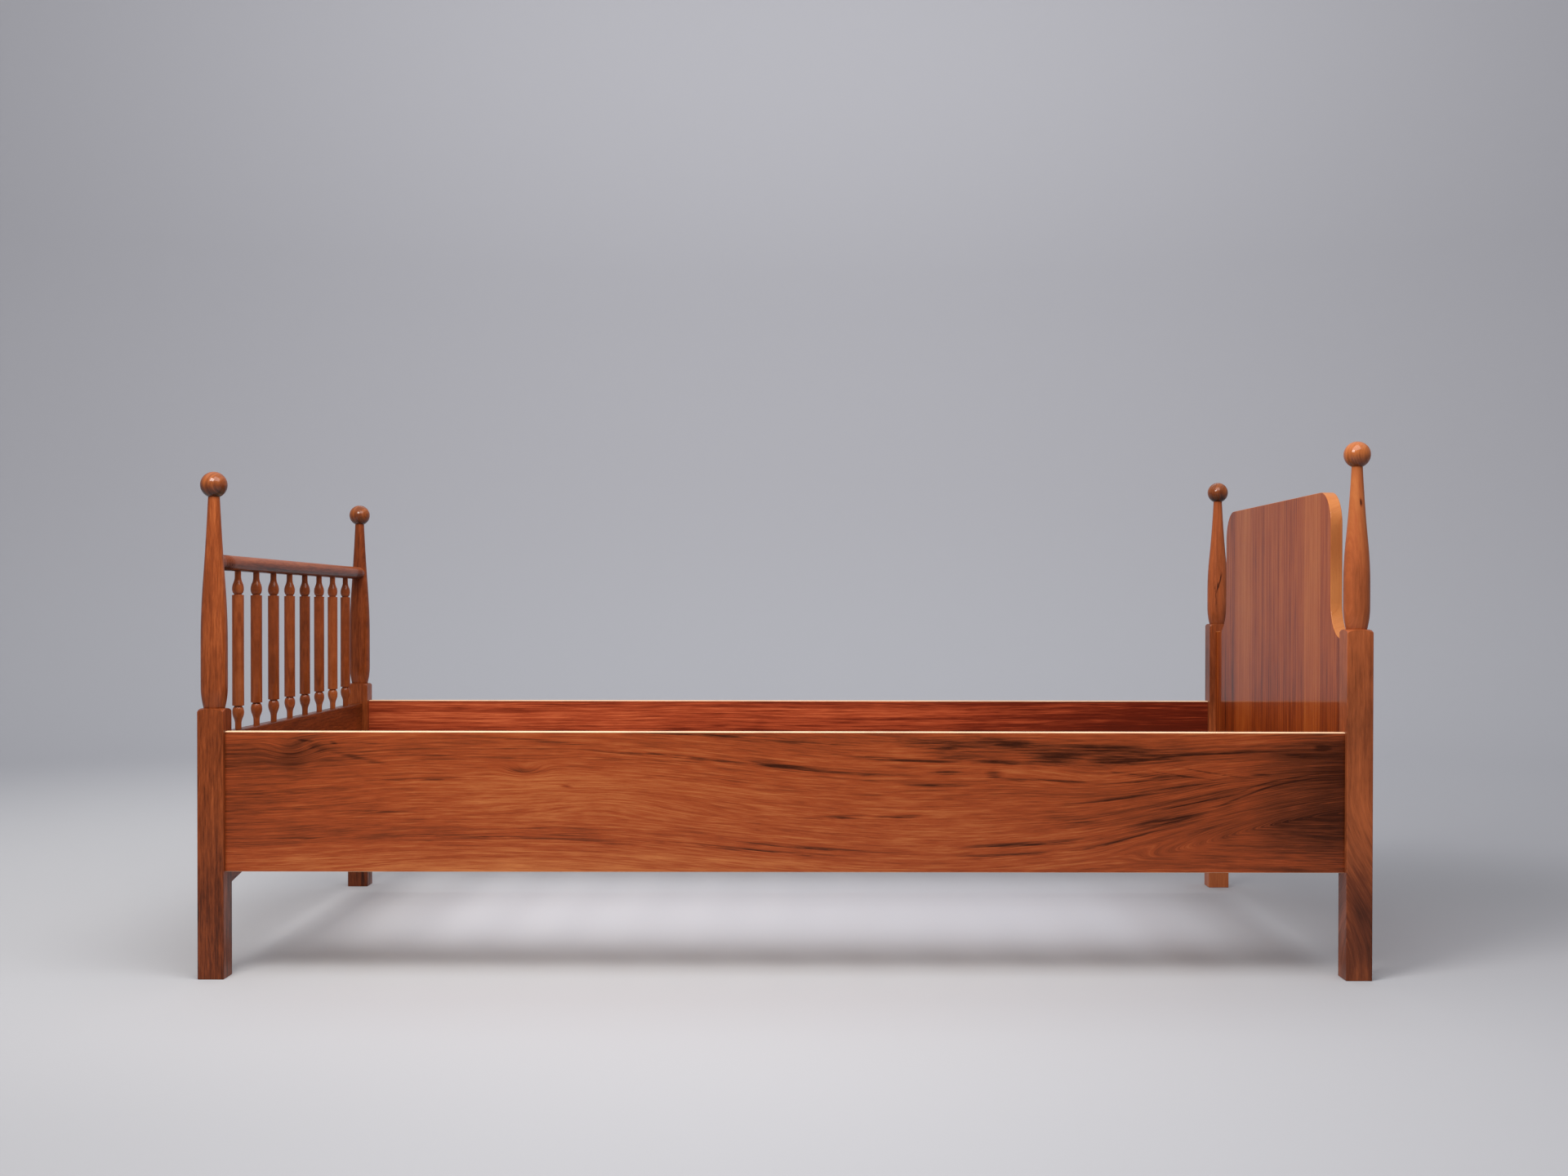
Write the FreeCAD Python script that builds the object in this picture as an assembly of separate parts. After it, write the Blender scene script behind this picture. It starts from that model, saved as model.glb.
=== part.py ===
import FreeCAD, Part
import os
from math import sqrt, tan

# Single bed frame in solid wood: four ball-topped posts, a spindle foot end, a shaped head panel,
# two deep side rails on steel hooks, and slats on ledgers.
# Sizes are in millimetres. X runs from foot to head, Y from the front side to the back side, Z up.
# The origin is on the floor under the middle of the bed.

Vector = FreeCAD.Vector
along_x = Vector(1, 0, 0)
along_y = Vector(0, 1, 0)
along_z = Vector(0, 0, 1)

# Overall sizes
bed_length = 2080.0
bed_width = 1060.0

# Posts: a square leg up to the shoulder, then a turned length up to the neck under the ball
post_side = 46.5
post_edge_radius = 1.5
post_foot_chamfer = 1.2
foot_shoulder_height = 480.0
head_shoulder_height = 622.5
foot_turned_length = 376.0
head_turned_length = 289.0
vase_diameter = 46.3
vase_base_diameter = 36.5
foot_neck_diameter = 20.2
head_neck_diameter = 19.4
shoulder_round = 19.0

# The turned part swells from its base, runs straight along its belly, then draws in past its waist,
# where the outward curve turns inward, to the neck
vase_base_rise = 40.0
foot_belly_rise = 110.0
foot_waist_rise = 225.0
foot_waist_diameter = 38.0
head_belly_rise = 78.0
head_waist_rise = 155.0
head_waist_diameter = 38.8

# Ball finials and their spigots
ball_diameter = 47.0
spigot_diameter = 10.0
spigot_length = 22.0

# Round rail at the foot end, its axis above the foot posts' shoulders
rod_diameter = 28.5
rod_rise = 260.0
rod_tenon_diameter = 16.0
rod_tenon_stop = 6.0
ring_count = 5
ring_first_offset = 30.0
ring_pitch = 9.4
ring_depth = 0.8
ring_width = 2.2

# Spindles, the outer ones that far from the posts
spindle_count = 8
spindle_end_offset = 106.55
spindle_neck_diameter = 11.6
spindle_bulb_diameter = 21.2
spindle_barrel_diameter = 21.4
spindle_groove_diameter = 14.6
spindle_groove_width = 2.6
spindle_end_length = 43.2
spindle_neck_rise = 9.0
spindle_bulb_rise = 32.0
spindle_lip_diameter = 17.0
spindle_barrel_chamfer = 1.0
spindle_tenon_length = 14.0
rod_bore_depth = 14.0

# Foot rail, the board under the spindles, its top edge below the foot posts' shoulders
foot_rail_thickness = 22.0
foot_rail_drop = 46.5
foot_rail_height = 278.5
foot_rail_arch_rise = 43.0
board_edge_radius = 2.0
foot_tenon_thickness = 10.0
foot_tenon_end_gap = 2.75
foot_tenon_haunch = 24.0

# Head panel: wings just below the head posts' shoulders, and a raised middle between them
head_panel_thickness = 22.0
head_panel_recess = 14.0
head_panel_wing_drop = 17.5
head_panel_wing_width = 96.5
head_panel_raise = 273.0
head_panel_corner_radius = 64.0
head_panel_edge_radius = 1.5
tongue_thickness = 10.0
tongue_depth = 12.0
tongue_haunch = 14.0

# Side rails, their top edges below the foot posts' shoulders
side_rail_thickness = 18.0
side_rail_recess = 11.0
side_rail_drop = 40.5
side_rail_height = 249.5
side_rail_top_radius = 2.5
side_rail_bottom_radius = 1.2

# Ledgers, their top faces above the side rails' lower edges, and slats
ledger_width = 22.0
ledger_height = 30.0
ledger_rise = 60.0
ledger_end_gap = 6.0
slat_count = 14
slat_width = 70.0
slat_thickness = 18.0
slat_end_gap = 3.0
slat_edge_radius = 2.0

# Bed rail hooks: a plate on the end of each side rail, and a receiver plate in each post
plate_height = 130.0
plate_width = 14.0
plate_thickness = 2.5
hook_thickness = 2.5
hook_reach = 8.0
hook_neck_height = 12.0
hook_drop = 8.0
hook_spacing = 62.0
slot_side_gap = 0.5
pocket_gap = 1.0

# Screws
plate_screw_diameter = 3.5
plate_screw_length = 25.0
plate_screw_spacing = 112.0
slat_screw_diameter = 4.0
slat_screw_length = 34.0
ledger_screw_diameter = 4.5
ledger_screw_length = 34.0
ledger_screw_step = 3
screw_head_share = 2.0

# Clearances
joint_gap = 0.2
scribe_gap = 0.3
cut_overrun = 5.0
direction_slack = 1e-6

# Places that follow from the sizes above
post_x = bed_length / 2 - post_side / 2
post_y = bed_width / 2 - post_side / 2
post_inner_x = bed_length / 2 - post_side
post_inner_y = bed_width / 2 - post_side
foot_neck_height = foot_shoulder_height + foot_turned_length
head_neck_height = head_shoulder_height + head_turned_length
rod_height = foot_shoulder_height + rod_rise
foot_rail_top = foot_shoulder_height - foot_rail_drop
foot_rail_end_bottom = foot_rail_top - foot_rail_height
foot_rail_inner_x = -post_x + foot_rail_thickness / 2
side_rail_top = foot_shoulder_height - side_rail_drop
side_rail_bottom = side_rail_top - side_rail_height
rail_outer_y = bed_width / 2 - side_rail_recess
rail_inner_y = rail_outer_y - side_rail_thickness
rail_middle_y = rail_outer_y - side_rail_thickness / 2
rail_middle_z = (side_rail_bottom + side_rail_top) / 2
head_panel_inner_x = post_inner_x + head_panel_recess
head_panel_middle_x = head_panel_inner_x + head_panel_thickness / 2
head_panel_bottom = side_rail_bottom
head_panel_wing_top = head_shoulder_height - head_panel_wing_drop
head_panel_top = head_panel_wing_top + head_panel_raise
ledger_top = side_rail_bottom + ledger_rise
slat_top = ledger_top + slat_thickness
slat_pitch = (head_panel_inner_x - foot_rail_inner_x) / slat_count
spindle_pitch = 2 * (post_inner_y - spindle_end_offset) / (spindle_count - 1)

# The foot rail's tenons stop beside the plate screws, which cross them in the posts
foot_tenon_end_y = rail_middle_y - plate_screw_diameter / 2 - foot_tenon_end_gap

made = {}


def block(x_low, x_high, y_low, y_high, z_low, z_high):
    """A box between two corners."""
    return Part.makeBox(x_high - x_low, y_high - y_low, z_high - z_low, Vector(x_low, y_low, z_low))


def rod_between(start, direction, length, diameter):
    """A plain round rod or drill."""
    return Part.makeCylinder(diameter / 2, length, start, direction)


def revolved(edges, axis_point, axis_direction):
    """A turned solid from the closed outline of half its section."""
    outline = Part.Wire(Part.sortEdges(edges)[0])
    return Part.Face(outline).revolve(axis_point, axis_direction, 360)


def polyline(points):
    """Straight edges through the points in order."""
    return [Part.LineSegment(a, b).toShape() for a, b in zip(points, points[1:])]


def flowing_arcs(start, heading, points):
    """Arcs from start through the points, each leaving along the last one's final direction."""
    arcs = []
    for finish in points:
        chord = finish - start
        along = Vector(chord).normalize()
        forward = along * heading.dot(along)
        sideways = heading - forward
        height = chord.Length / 2 * tan(heading.getAngle(chord) / 2)
        middle = start + chord / 2 + Vector(sideways).normalize() * height
        arcs.append(Part.Arc(start, middle, finish).toShape())
        heading = forward - sideways
        start = finish
    return arcs


def edges_where(shape, test):
    """The edges of a shape that pass a test."""
    return [edge for edge in shape.Edges if test(edge)]


def is_straight_along(edge, direction):
    """True for a straight edge that runs along the given axis."""
    if not isinstance(edge.Curve, Part.Line):
        return False
    return abs(abs(edge.Curve.Direction.dot(direction)) - 1) < direction_slack


def vase(shoulder, belly_rise, waist_rise, waist_diameter, neck, neck_diameter, extra=0.0):
    """The turned part of a post on the Z axis, grown by extra on its radius."""

    def place(diameter, z):
        return Vector(diameter / 2 + extra, 0, z)

    base = place(vase_base_diameter, shoulder)
    belly_low = place(vase_diameter, shoulder + vase_base_rise)
    belly_high = place(vase_diameter, shoulder + belly_rise)
    waist = place(waist_diameter, shoulder + waist_rise)
    top = place(neck_diameter, neck)
    outline = flowing_arcs(belly_low, along_z * -1, [base])
    outline += polyline([belly_low, belly_high])
    outline += flowing_arcs(belly_high, along_z, [waist, top])
    outline += polyline([top, Vector(0, 0, neck), Vector(0, 0, shoulder), base])
    return revolved(outline, Vector(0, 0, 0), along_z)


def foot_vase(extra=0.0):
    """The turned part of a foot post on the Z axis."""
    return vase(foot_shoulder_height, foot_belly_rise, foot_waist_rise, foot_waist_diameter,
                foot_neck_height, foot_neck_diameter, extra)


def head_vase():
    """The turned part of a head post on the Z axis."""
    return vase(head_shoulder_height, head_belly_rise, head_waist_rise, head_waist_diameter,
                head_neck_height, head_neck_diameter)


def shoulder_dome(shoulder):
    """The turned envelope that rounds the top of a square leg."""
    base_radius = vase_base_diameter / 2
    rim_radius = base_radius + shoulder_round
    rim_z = shoulder - shoulder_round
    middle_z = rim_z + shoulder_round / sqrt(2)
    middle_r = base_radius + shoulder_round / sqrt(2)
    start = Vector(base_radius, 0, shoulder)
    finish = Vector(rim_radius, 0, rim_z)
    rounding = Part.Arc(start, Vector(middle_r, 0, middle_z), finish).toShape()
    below = -cut_overrun
    rest = polyline([finish, Vector(rim_radius, 0, below), Vector(0, 0, below), Vector(0, 0, shoulder), start])
    return revolved([rounding] + rest, Vector(0, 0, 0), along_z)


def square_leg(shoulder):
    """A square leg with eased edges and a rounded top, on the Z axis."""
    half = post_side / 2
    leg = block(-half, half, -half, half, 0, shoulder)
    uprights = edges_where(leg, lambda edge: is_straight_along(edge, along_z))
    leg = leg.makeFillet(post_edge_radius, uprights)
    soles = edges_where(leg, lambda edge: edge.BoundBox.ZMax < post_foot_chamfer)
    leg = leg.makeChamfer(post_foot_chamfer, soles)
    return leg.common(shoulder_dome(shoulder))


def post_blank(shoulder, neck, turned_part):
    """A leg, its turned part and the spigot for the ball, on the Z axis."""
    spigot = rod_between(Vector(0, 0, neck), along_z, spigot_length, spigot_diameter)
    return square_leg(shoulder).fuse(turned_part).fuse(spigot).removeSplitter()


def hook_heights():
    """The heights of the two hooks' necks on a side rail, at their undersides."""
    return [rail_middle_z - hook_spacing / 2, rail_middle_z + hook_spacing / 2]


def plate_screw_heights():
    """The heights of the screws in a hook plate or a receiver plate."""
    return [rail_middle_z - plate_screw_spacing / 2, rail_middle_z + plate_screw_spacing / 2]


def plate_block(face_x, inward, extra):
    """The space of a plate whose face is at face_x and whose body lies inward of it."""
    near, far = sorted([face_x, face_x + inward * plate_thickness])
    return block(near, far, rail_middle_y - plate_width / 2 - extra, rail_middle_y + plate_width / 2 + extra,
                 rail_middle_z - plate_height / 2 - extra, rail_middle_z + plate_height / 2 + extra)


def screw(tip_direction, head_point, diameter, length, extra=0.0):
    """A countersunk screw with its head flush at head_point, grown by extra on its radius."""
    head_radius = diameter * screw_head_share / 2 + extra
    shank_radius = diameter / 2 + extra
    outline = [Vector(0, 0, 0), Vector(head_radius, 0, 0), Vector(shank_radius, 0, head_radius - shank_radius),
               Vector(shank_radius, 0, length + extra), Vector(0, 0, length + extra), Vector(0, 0, 0)]
    shape = revolved(polyline(outline), Vector(0, 0, 0), along_z)
    shape.Placement = FreeCAD.Placement(head_point, FreeCAD.Rotation(along_z, tip_direction))
    return shape


def slot_block(x_low, x_high, hook_z, side_gap, below, above):
    """A slot around one hook, as wide as the hook and its gaps."""
    return block(x_low, x_high, rail_middle_y - hook_thickness / 2 - side_gap,
                 rail_middle_y + hook_thickness / 2 + side_gap, hook_z - below, hook_z + above)


def receiver_plate(end):
    """A slotted receiver plate, let into a post at the foot (-1) or head (1) end, on the back side."""
    face_x = end * post_inner_x
    plate = plate_block(face_x, end, 0)
    back_x = face_x + end * plate_thickness
    near, far = sorted([face_x - end * cut_overrun, back_x + end * cut_overrun])
    for hook_z in hook_heights():
        slot_height = hook_neck_height + hook_drop + pocket_gap
        plate = plate.cut(slot_block(near, far, hook_z, slot_side_gap, 0, slot_height))
    for screw_z in plate_screw_heights():
        head = Vector(face_x, rail_middle_y, screw_z)
        plate = plate.cut(screw(along_x * end, head, plate_screw_diameter, plate_screw_length, joint_gap))
    return plate


def hook_plate(end):
    """A hook plate, let into the end of a side rail, with hooks that drop behind the receiver plate."""
    face_x = end * post_inner_x
    plate = plate_block(face_x, -end, 0)
    tip_x = face_x + end * hook_reach
    back_x = face_x + end * plate_thickness
    for hook_z in hook_heights():
        near, far = sorted([face_x, tip_x])
        neck = slot_block(near, far, hook_z, 0, 0, hook_neck_height)
        near, far = sorted([back_x, tip_x])
        tooth = slot_block(near, far, hook_z, 0, hook_drop, hook_neck_height)
        plate = plate.fuse(neck).fuse(tooth)
    for screw_z in plate_screw_heights():
        head = Vector(face_x, rail_middle_y, screw_z)
        plate = plate.cut(screw(along_x * -end, head, plate_screw_diameter, plate_screw_length, joint_gap))
    return plate.removeSplitter()


def receiver_cuts(end):
    """What a post loses for its receiver plate: the plate's recess, the hook pockets and the screw holes."""
    face_x = end * post_inner_x
    back_x = face_x + end * plate_thickness
    cuts = [plate_block(face_x, end, joint_gap)]
    deep_x = face_x + end * (hook_reach + pocket_gap)
    near, far = sorted([back_x, deep_x])
    for hook_z in hook_heights():
        above = hook_neck_height + hook_drop + pocket_gap
        cuts.append(slot_block(near, far, hook_z, slot_side_gap, hook_drop + pocket_gap, above))
    for screw_z in plate_screw_heights():
        head = Vector(face_x, rail_middle_y, screw_z)
        cuts.append(screw(along_x * end, head, plate_screw_diameter, plate_screw_length, joint_gap))
    return cuts


def rail_end_cuts(end):
    """What a side rail loses for its hook plate: the plate's recess and the screw holes."""
    face_x = end * post_inner_x
    cuts = [plate_block(face_x, -end, joint_gap)]
    for screw_z in plate_screw_heights():
        head = Vector(face_x, rail_middle_y, screw_z)
        cuts.append(screw(along_x * -end, head, plate_screw_diameter, plate_screw_length, joint_gap))
    return cuts


def foot_rail_tenon(extra, end_extra):
    """The tenon of the foot rail at its back end, grown for its mortise."""
    half = foot_tenon_thickness / 2 + extra
    return block(-post_x - half, -post_x + half, post_inner_y, foot_tenon_end_y + end_extra,
                 foot_rail_end_bottom + foot_tenon_haunch - extra, foot_rail_top - foot_tenon_haunch + extra)


def head_tongue(extra, end_extra):
    """The tongue of the head panel at its back edge, grown for its groove."""
    half = tongue_thickness / 2 + extra
    return block(head_panel_middle_x - half, head_panel_middle_x + half, post_inner_y,
                 post_inner_y + tongue_depth + end_extra, head_panel_bottom + tongue_haunch - extra,
                 head_panel_wing_top - tongue_haunch + extra)


def back_foot_post():
    """The foot post on the back side, with its joints cut."""
    post = post_blank(foot_shoulder_height, foot_neck_height, foot_vase())
    post.translate(Vector(-post_x, post_y, 0))
    bore_start = Vector(-post_x, post_y - post_side, rod_height)
    bore_length = post_side - rod_tenon_stop
    post = post.cut(rod_between(bore_start, along_y, bore_length, rod_tenon_diameter + 2 * joint_gap))
    post = post.cut(foot_rail_tenon(joint_gap, joint_gap))
    for cutter in receiver_cuts(-1):
        post = post.cut(cutter)
    return post


def back_head_post():
    """The head post on the back side, with its joints cut."""
    post = post_blank(head_shoulder_height, head_neck_height, head_vase())
    post.translate(Vector(post_x, post_y, 0))
    post = post.cut(head_tongue(joint_gap, joint_gap))
    for cutter in receiver_cuts(1):
        post = post.cut(cutter)
    return post


def ball_finial(x, neck, neck_diameter):
    """A ball with a flat seat and a bore, over the spigot of the back post at x."""
    radius = ball_diameter / 2
    seat_drop = sqrt(radius ** 2 - (neck_diameter / 2) ** 2)
    centre = Vector(x, post_y, neck + seat_drop)
    ball = Part.makeSphere(radius, centre)
    below = block(x - radius, x + radius, post_y - radius, post_y + radius, neck - radius, neck)
    bore = rod_between(Vector(x, post_y, neck - radius), along_z,
                       radius + spigot_length + joint_gap, spigot_diameter + 2 * joint_gap)
    return ball.cut(below).cut(bore)


def round_rail():
    """The round rail at the foot end, scribed to both posts, with its rings, tenons and spindle bores."""
    radius = rod_diameter / 2
    half_length = post_y
    points = [Vector(0, -half_length, 0), Vector(0, -half_length, radius)]
    for index in range(ring_count):
        middle = -half_length + ring_first_offset + ring_pitch * index
        points.append(Vector(0, middle - ring_width / 2, radius))
        points.append(Vector(0, middle, radius - ring_depth))
        points.append(Vector(0, middle + ring_width / 2, radius))
    mirrored = [Vector(0, -point.y, point.z) for point in reversed(points)]
    outline = points + mirrored + [points[0]]
    rod = revolved(polyline(outline), Vector(0, 0, 0), along_y)
    rod.translate(Vector(-post_x, 0, rod_height))
    for side in (-1, 1):
        scribe = foot_vase(scribe_gap)
        scribe.translate(Vector(-post_x, side * post_y, 0))
        rod = rod.cut(scribe)
    rod = max(rod.Solids, key=lambda solid: solid.Volume)
    tenon_half = post_y - rod_tenon_stop
    tenons = rod_between(Vector(-post_x, -tenon_half, rod_height), along_y, 2 * tenon_half, rod_tenon_diameter)
    rod = rod.fuse(tenons).removeSplitter()
    for y in spindle_places():
        start = Vector(-post_x, y, rod_height - radius - cut_overrun)
        rod = rod.cut(rod_between(start, along_z, rod_bore_depth + cut_overrun,
                                  spindle_neck_diameter + 2 * joint_gap))
    return rod


def spindle_places():
    """The Y places of the spindles, spread evenly about the middle."""
    first = -spindle_pitch * (spindle_count - 1) / 2
    return [first + spindle_pitch * index for index in range(spindle_count)]


def spindle_end(base, up):
    """The outline of a spindle's neck, bulb and groove, from its tenon towards its barrel."""

    def place(diameter, height):
        return Vector(diameter / 2, 0, base + up * height)

    groove_start = spindle_end_length - spindle_groove_width
    neck_low = place(spindle_neck_diameter, -spindle_tenon_length)
    neck_high = place(spindle_neck_diameter, spindle_neck_rise)
    swell = place((spindle_neck_diameter + spindle_bulb_diameter) / 2, (spindle_neck_rise + spindle_bulb_rise) / 2)
    bulb = place(spindle_bulb_diameter, spindle_bulb_rise)
    lip = place(spindle_lip_diameter, groove_start)
    outline = polyline([neck_low, neck_high])
    outline += flowing_arcs(neck_high, along_z * up, [swell, bulb, lip])
    outline += polyline([lip, place(spindle_groove_diameter, groove_start),
                         place(spindle_groove_diameter, spindle_end_length),
                         place(spindle_barrel_diameter - 2 * spindle_barrel_chamfer, spindle_end_length),
                         place(spindle_barrel_diameter, spindle_end_length + spindle_barrel_chamfer)])
    return outline


def spindle(y):
    """One turned spindle between the foot rail and the round rail."""
    low = foot_rail_top
    high = rod_height - rod_diameter / 2
    neck = spindle_neck_diameter / 2
    barrel = spindle_barrel_diameter / 2
    start_z = low - spindle_tenon_length
    top_z = high + rod_bore_depth
    barrel_low = low + spindle_end_length + spindle_barrel_chamfer
    barrel_high = high - spindle_end_length - spindle_barrel_chamfer
    edges = spindle_end(low, 1) + spindle_end(high, -1)
    edges += polyline([Vector(barrel, 0, barrel_low), Vector(barrel, 0, barrel_high)])
    edges += polyline([Vector(neck, 0, top_z), Vector(0, 0, top_z), Vector(0, 0, start_z), Vector(neck, 0, start_z)])
    shape = revolved(edges, Vector(0, 0, 0), along_z)
    shape.translate(Vector(-post_x, y, 0))
    return shape


def foot_board():
    """The foot rail: a board with an arched lower edge, tenoned ends and bores for the spindles."""
    x_low = -post_x - foot_rail_thickness / 2
    half = post_inner_y
    low = foot_rail_end_bottom
    corners = [Vector(x_low, half, low), Vector(x_low, half, foot_rail_top),
               Vector(x_low, -half, foot_rail_top), Vector(x_low, -half, low)]
    crown = Vector(x_low, 0, low + foot_rail_arch_rise)
    arch = Part.Arc(corners[3], crown, corners[0]).toShape()
    face = Part.Face(Part.Wire(Part.sortEdges(polyline(corners) + [arch])[0]))
    board = face.extrude(along_x * foot_rail_thickness)
    top_edges = edges_where(board, lambda edge: is_straight_along(edge, along_y))
    board = board.makeFillet(board_edge_radius, top_edges)
    back = foot_rail_tenon(0, 0)
    front = back.mirror(Vector(0, 0, 0), along_y)
    board = board.fuse(back).fuse(front)
    for y in spindle_places():
        start = Vector(-post_x, y, foot_rail_top - spindle_tenon_length)
        board = board.cut(rod_between(start, along_z, spindle_tenon_length + cut_overrun,
                                      spindle_neck_diameter + 2 * joint_gap))
    return board


def half_head_outline():
    """The outline of the head panel's back half: a wing, a hollow sweep up from it, and a rounded corner."""
    half_neck = post_inner_y - head_panel_wing_width
    radius = head_panel_corner_radius
    bend = radius / sqrt(2)

    def corner(y, z):
        return Vector(head_panel_inner_x, y, z)

    top_middle = corner(0, head_panel_top)
    bottom_middle = corner(0, head_panel_bottom)
    bottom_end = corner(post_inner_y, head_panel_bottom)
    wing_end = corner(post_inner_y, head_panel_wing_top)
    sweep_end = corner(half_neck + radius, head_panel_wing_top)
    sweep_start = corner(half_neck, head_panel_wing_top + radius)
    sweep_middle = corner(half_neck + radius - bend, head_panel_wing_top + radius - bend)
    round_start = corner(half_neck, head_panel_top - radius)
    round_end = corner(half_neck - radius, head_panel_top)
    round_middle = corner(half_neck - radius + bend, head_panel_top - radius + bend)
    edges = polyline([top_middle, bottom_middle, bottom_end, wing_end, sweep_end])
    edges.append(Part.Arc(sweep_end, sweep_middle, sweep_start).toShape())
    edges += polyline([sweep_start, round_start])
    edges.append(Part.Arc(round_start, round_middle, round_end).toShape())
    edges += polyline([round_end, top_middle])
    return Part.Wire(Part.sortEdges(edges)[0])


def head_board():
    """The head panel, a mirror image of itself about its middle, with tongued edges."""
    half_panel = Part.Face(half_head_outline()).extrude(along_x * head_panel_thickness)
    panel = half_panel.fuse(half_panel.mirror(Vector(0, 0, 0), along_y)).removeSplitter()

    def is_upper_rim(edge):
        box = edge.BoundBox
        across = box.XLength > head_panel_thickness / 2
        above = box.ZMin >= head_panel_wing_top - joint_gap
        return above and not across

    panel = panel.makeFillet(head_panel_edge_radius, edges_where(panel, is_upper_rim))
    tongue = head_tongue(0, 0)
    return panel.fuse(tongue).fuse(tongue.mirror(Vector(0, 0, 0), along_y))


def back_side_rail():
    """The side rail on the back side, with softened edges and its joints cut."""
    rail = block(-post_inner_x, post_inner_x, rail_inner_y, rail_outer_y, side_rail_bottom, side_rail_top)
    top_edges = edges_where(rail, lambda edge: is_straight_along(edge, along_x)
                            and edge.BoundBox.ZMin > rail_middle_z)
    rail = rail.makeFillet(side_rail_top_radius, top_edges)
    bottom_edges = edges_where(rail, lambda edge: is_straight_along(edge, along_x)
                               and edge.BoundBox.ZMax < side_rail_bottom + side_rail_bottom_radius)
    rail = rail.makeFillet(side_rail_bottom_radius, bottom_edges)
    for end in (-1, 1):
        for cutter in rail_end_cuts(end):
            rail = rail.cut(cutter)
    for cutter in ledger_screws(joint_gap):
        rail = rail.cut(cutter)
    return rail


def slat_places():
    """The X places of the slats, spread evenly between the foot rail and the head panel."""
    first = foot_rail_inner_x + slat_pitch / 2
    return [first + slat_pitch * index for index in range(slat_count)]


def ledger_screws(extra=0.0):
    """The screws of the back ledger, midway between slats, with ledger_screw_step slats from one to the next."""
    places = slat_places()
    screws = []
    for index in range(0, slat_count - 1, ledger_screw_step):
        x = (places[index] + places[index + 1]) / 2
        head = Vector(x, rail_inner_y - ledger_width, ledger_top - ledger_height / 2)
        screws.append(screw(along_y, head, ledger_screw_diameter, ledger_screw_length, extra))
    return screws


def slat_screws(extra=0.0):
    """The screws of the slats' back ends, one in each slat."""
    screws = []
    for x in slat_places():
        head = Vector(x, rail_inner_y - ledger_width / 2, slat_top)
        screws.append(screw(along_z * -1, head, slat_screw_diameter, slat_screw_length, extra))
    return screws


def back_ledger():
    """The ledger on the back side rail."""
    half = post_inner_x - ledger_end_gap
    strip = block(-half, half, rail_inner_y - ledger_width, rail_inner_y, ledger_top - ledger_height, ledger_top)
    for cutter in ledger_screws(joint_gap) + slat_screws(joint_gap):
        strip = strip.cut(cutter)
    return strip


def slat(x):
    """One slat, with its long edges eased."""
    half_length = rail_inner_y - slat_end_gap
    shape = block(x - slat_width / 2, x + slat_width / 2, -half_length, half_length, ledger_top, slat_top)
    long_edges = edges_where(shape, lambda edge: is_straight_along(edge, along_y)
                             and edge.BoundBox.ZMin > ledger_top + slat_thickness / 2)
    shape = shape.makeFillet(slat_edge_radius, long_edges)
    head = Vector(x, rail_inner_y - ledger_width / 2, slat_top)
    hole = screw(along_z * -1, head, slat_screw_diameter, slat_screw_length, joint_gap)
    return shape.cut(hole).cut(hole.mirror(Vector(0, 0, 0), along_y))


def front_of(shape):
    """The same piece on the front side, a mirror image of the one on the back side."""
    return shape.mirror(Vector(0, 0, 0), along_y)


def keep(name, shape):
    """Store one piece under its name."""
    made[name] = shape


def keep_pair(stem, shape):
    """Store a back piece and its mirror image at the front."""
    keep(stem + "_back", shape)
    keep(stem + "_front", front_of(shape))


def group(shapes):
    """Separate solids that share one name."""
    return Part.makeCompound(shapes)


def both_sides(shapes):
    """The pieces of the back side with their mirror images."""
    return shapes + [front_of(shape) for shape in shapes]


def plate_screws(end, towards):
    """The screws of the plates at one end, driven towards the post (end) or the rail (-end)."""
    screws = []
    for screw_z in plate_screw_heights():
        head = Vector(end * post_inner_x, rail_middle_y, screw_z)
        screws.append(screw(along_x * towards, head, plate_screw_diameter, plate_screw_length))
    return screws


keep_pair("foot_post", back_foot_post())
keep_pair("head_post", back_head_post())
keep_pair("ball_finial_foot", ball_finial(-post_x, foot_neck_height, foot_neck_diameter))
keep_pair("ball_finial_head", ball_finial(post_x, head_neck_height, head_neck_diameter))
keep("foot_rod", round_rail())
for number, place_y in enumerate(spindle_places(), start=1):
    keep("foot_spindle_%d" % number, spindle(place_y))
keep("foot_rail", foot_board())
keep("head_panel", head_board())
keep_pair("side_rail", back_side_rail())
keep_pair("ledger", back_ledger())
for number, place_x in enumerate(slat_places(), start=1):
    keep("slat_%02d" % number, slat(place_x))
for end_name, end_sign in (("foot", -1), ("head", 1)):
    keep_pair("hook_plate_" + end_name, hook_plate(end_sign))
    keep_pair("receiver_plate_" + end_name, receiver_plate(end_sign))
keep("hook_plate_screws", group(both_sides(plate_screws(-1, 1) + plate_screws(1, -1))))
keep("receiver_plate_screws", group(both_sides(plate_screws(-1, -1) + plate_screws(1, 1))))
keep("ledger_screws", group(both_sides(ledger_screws())))
keep("slat_screws", group(both_sides(slat_screws())))

os.makedirs("parts", exist_ok=True)
for name, shape in made.items():
    shape.exportStep("parts/" + name + ".step")
print(len(made), "pieces written")
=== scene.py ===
"""The looks of a single bed frame in lacquered wood, built around its packed construction model.

The row frame is in metres: X runs from foot to head, Y from the front side to the back side, Z up.
"""

import logging
import math
from dataclasses import dataclass, field, replace
from enum import Enum
from typing import Any, Callable, Iterable

import bmesh
import bpy
from mathutils import Matrix, Vector


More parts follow.
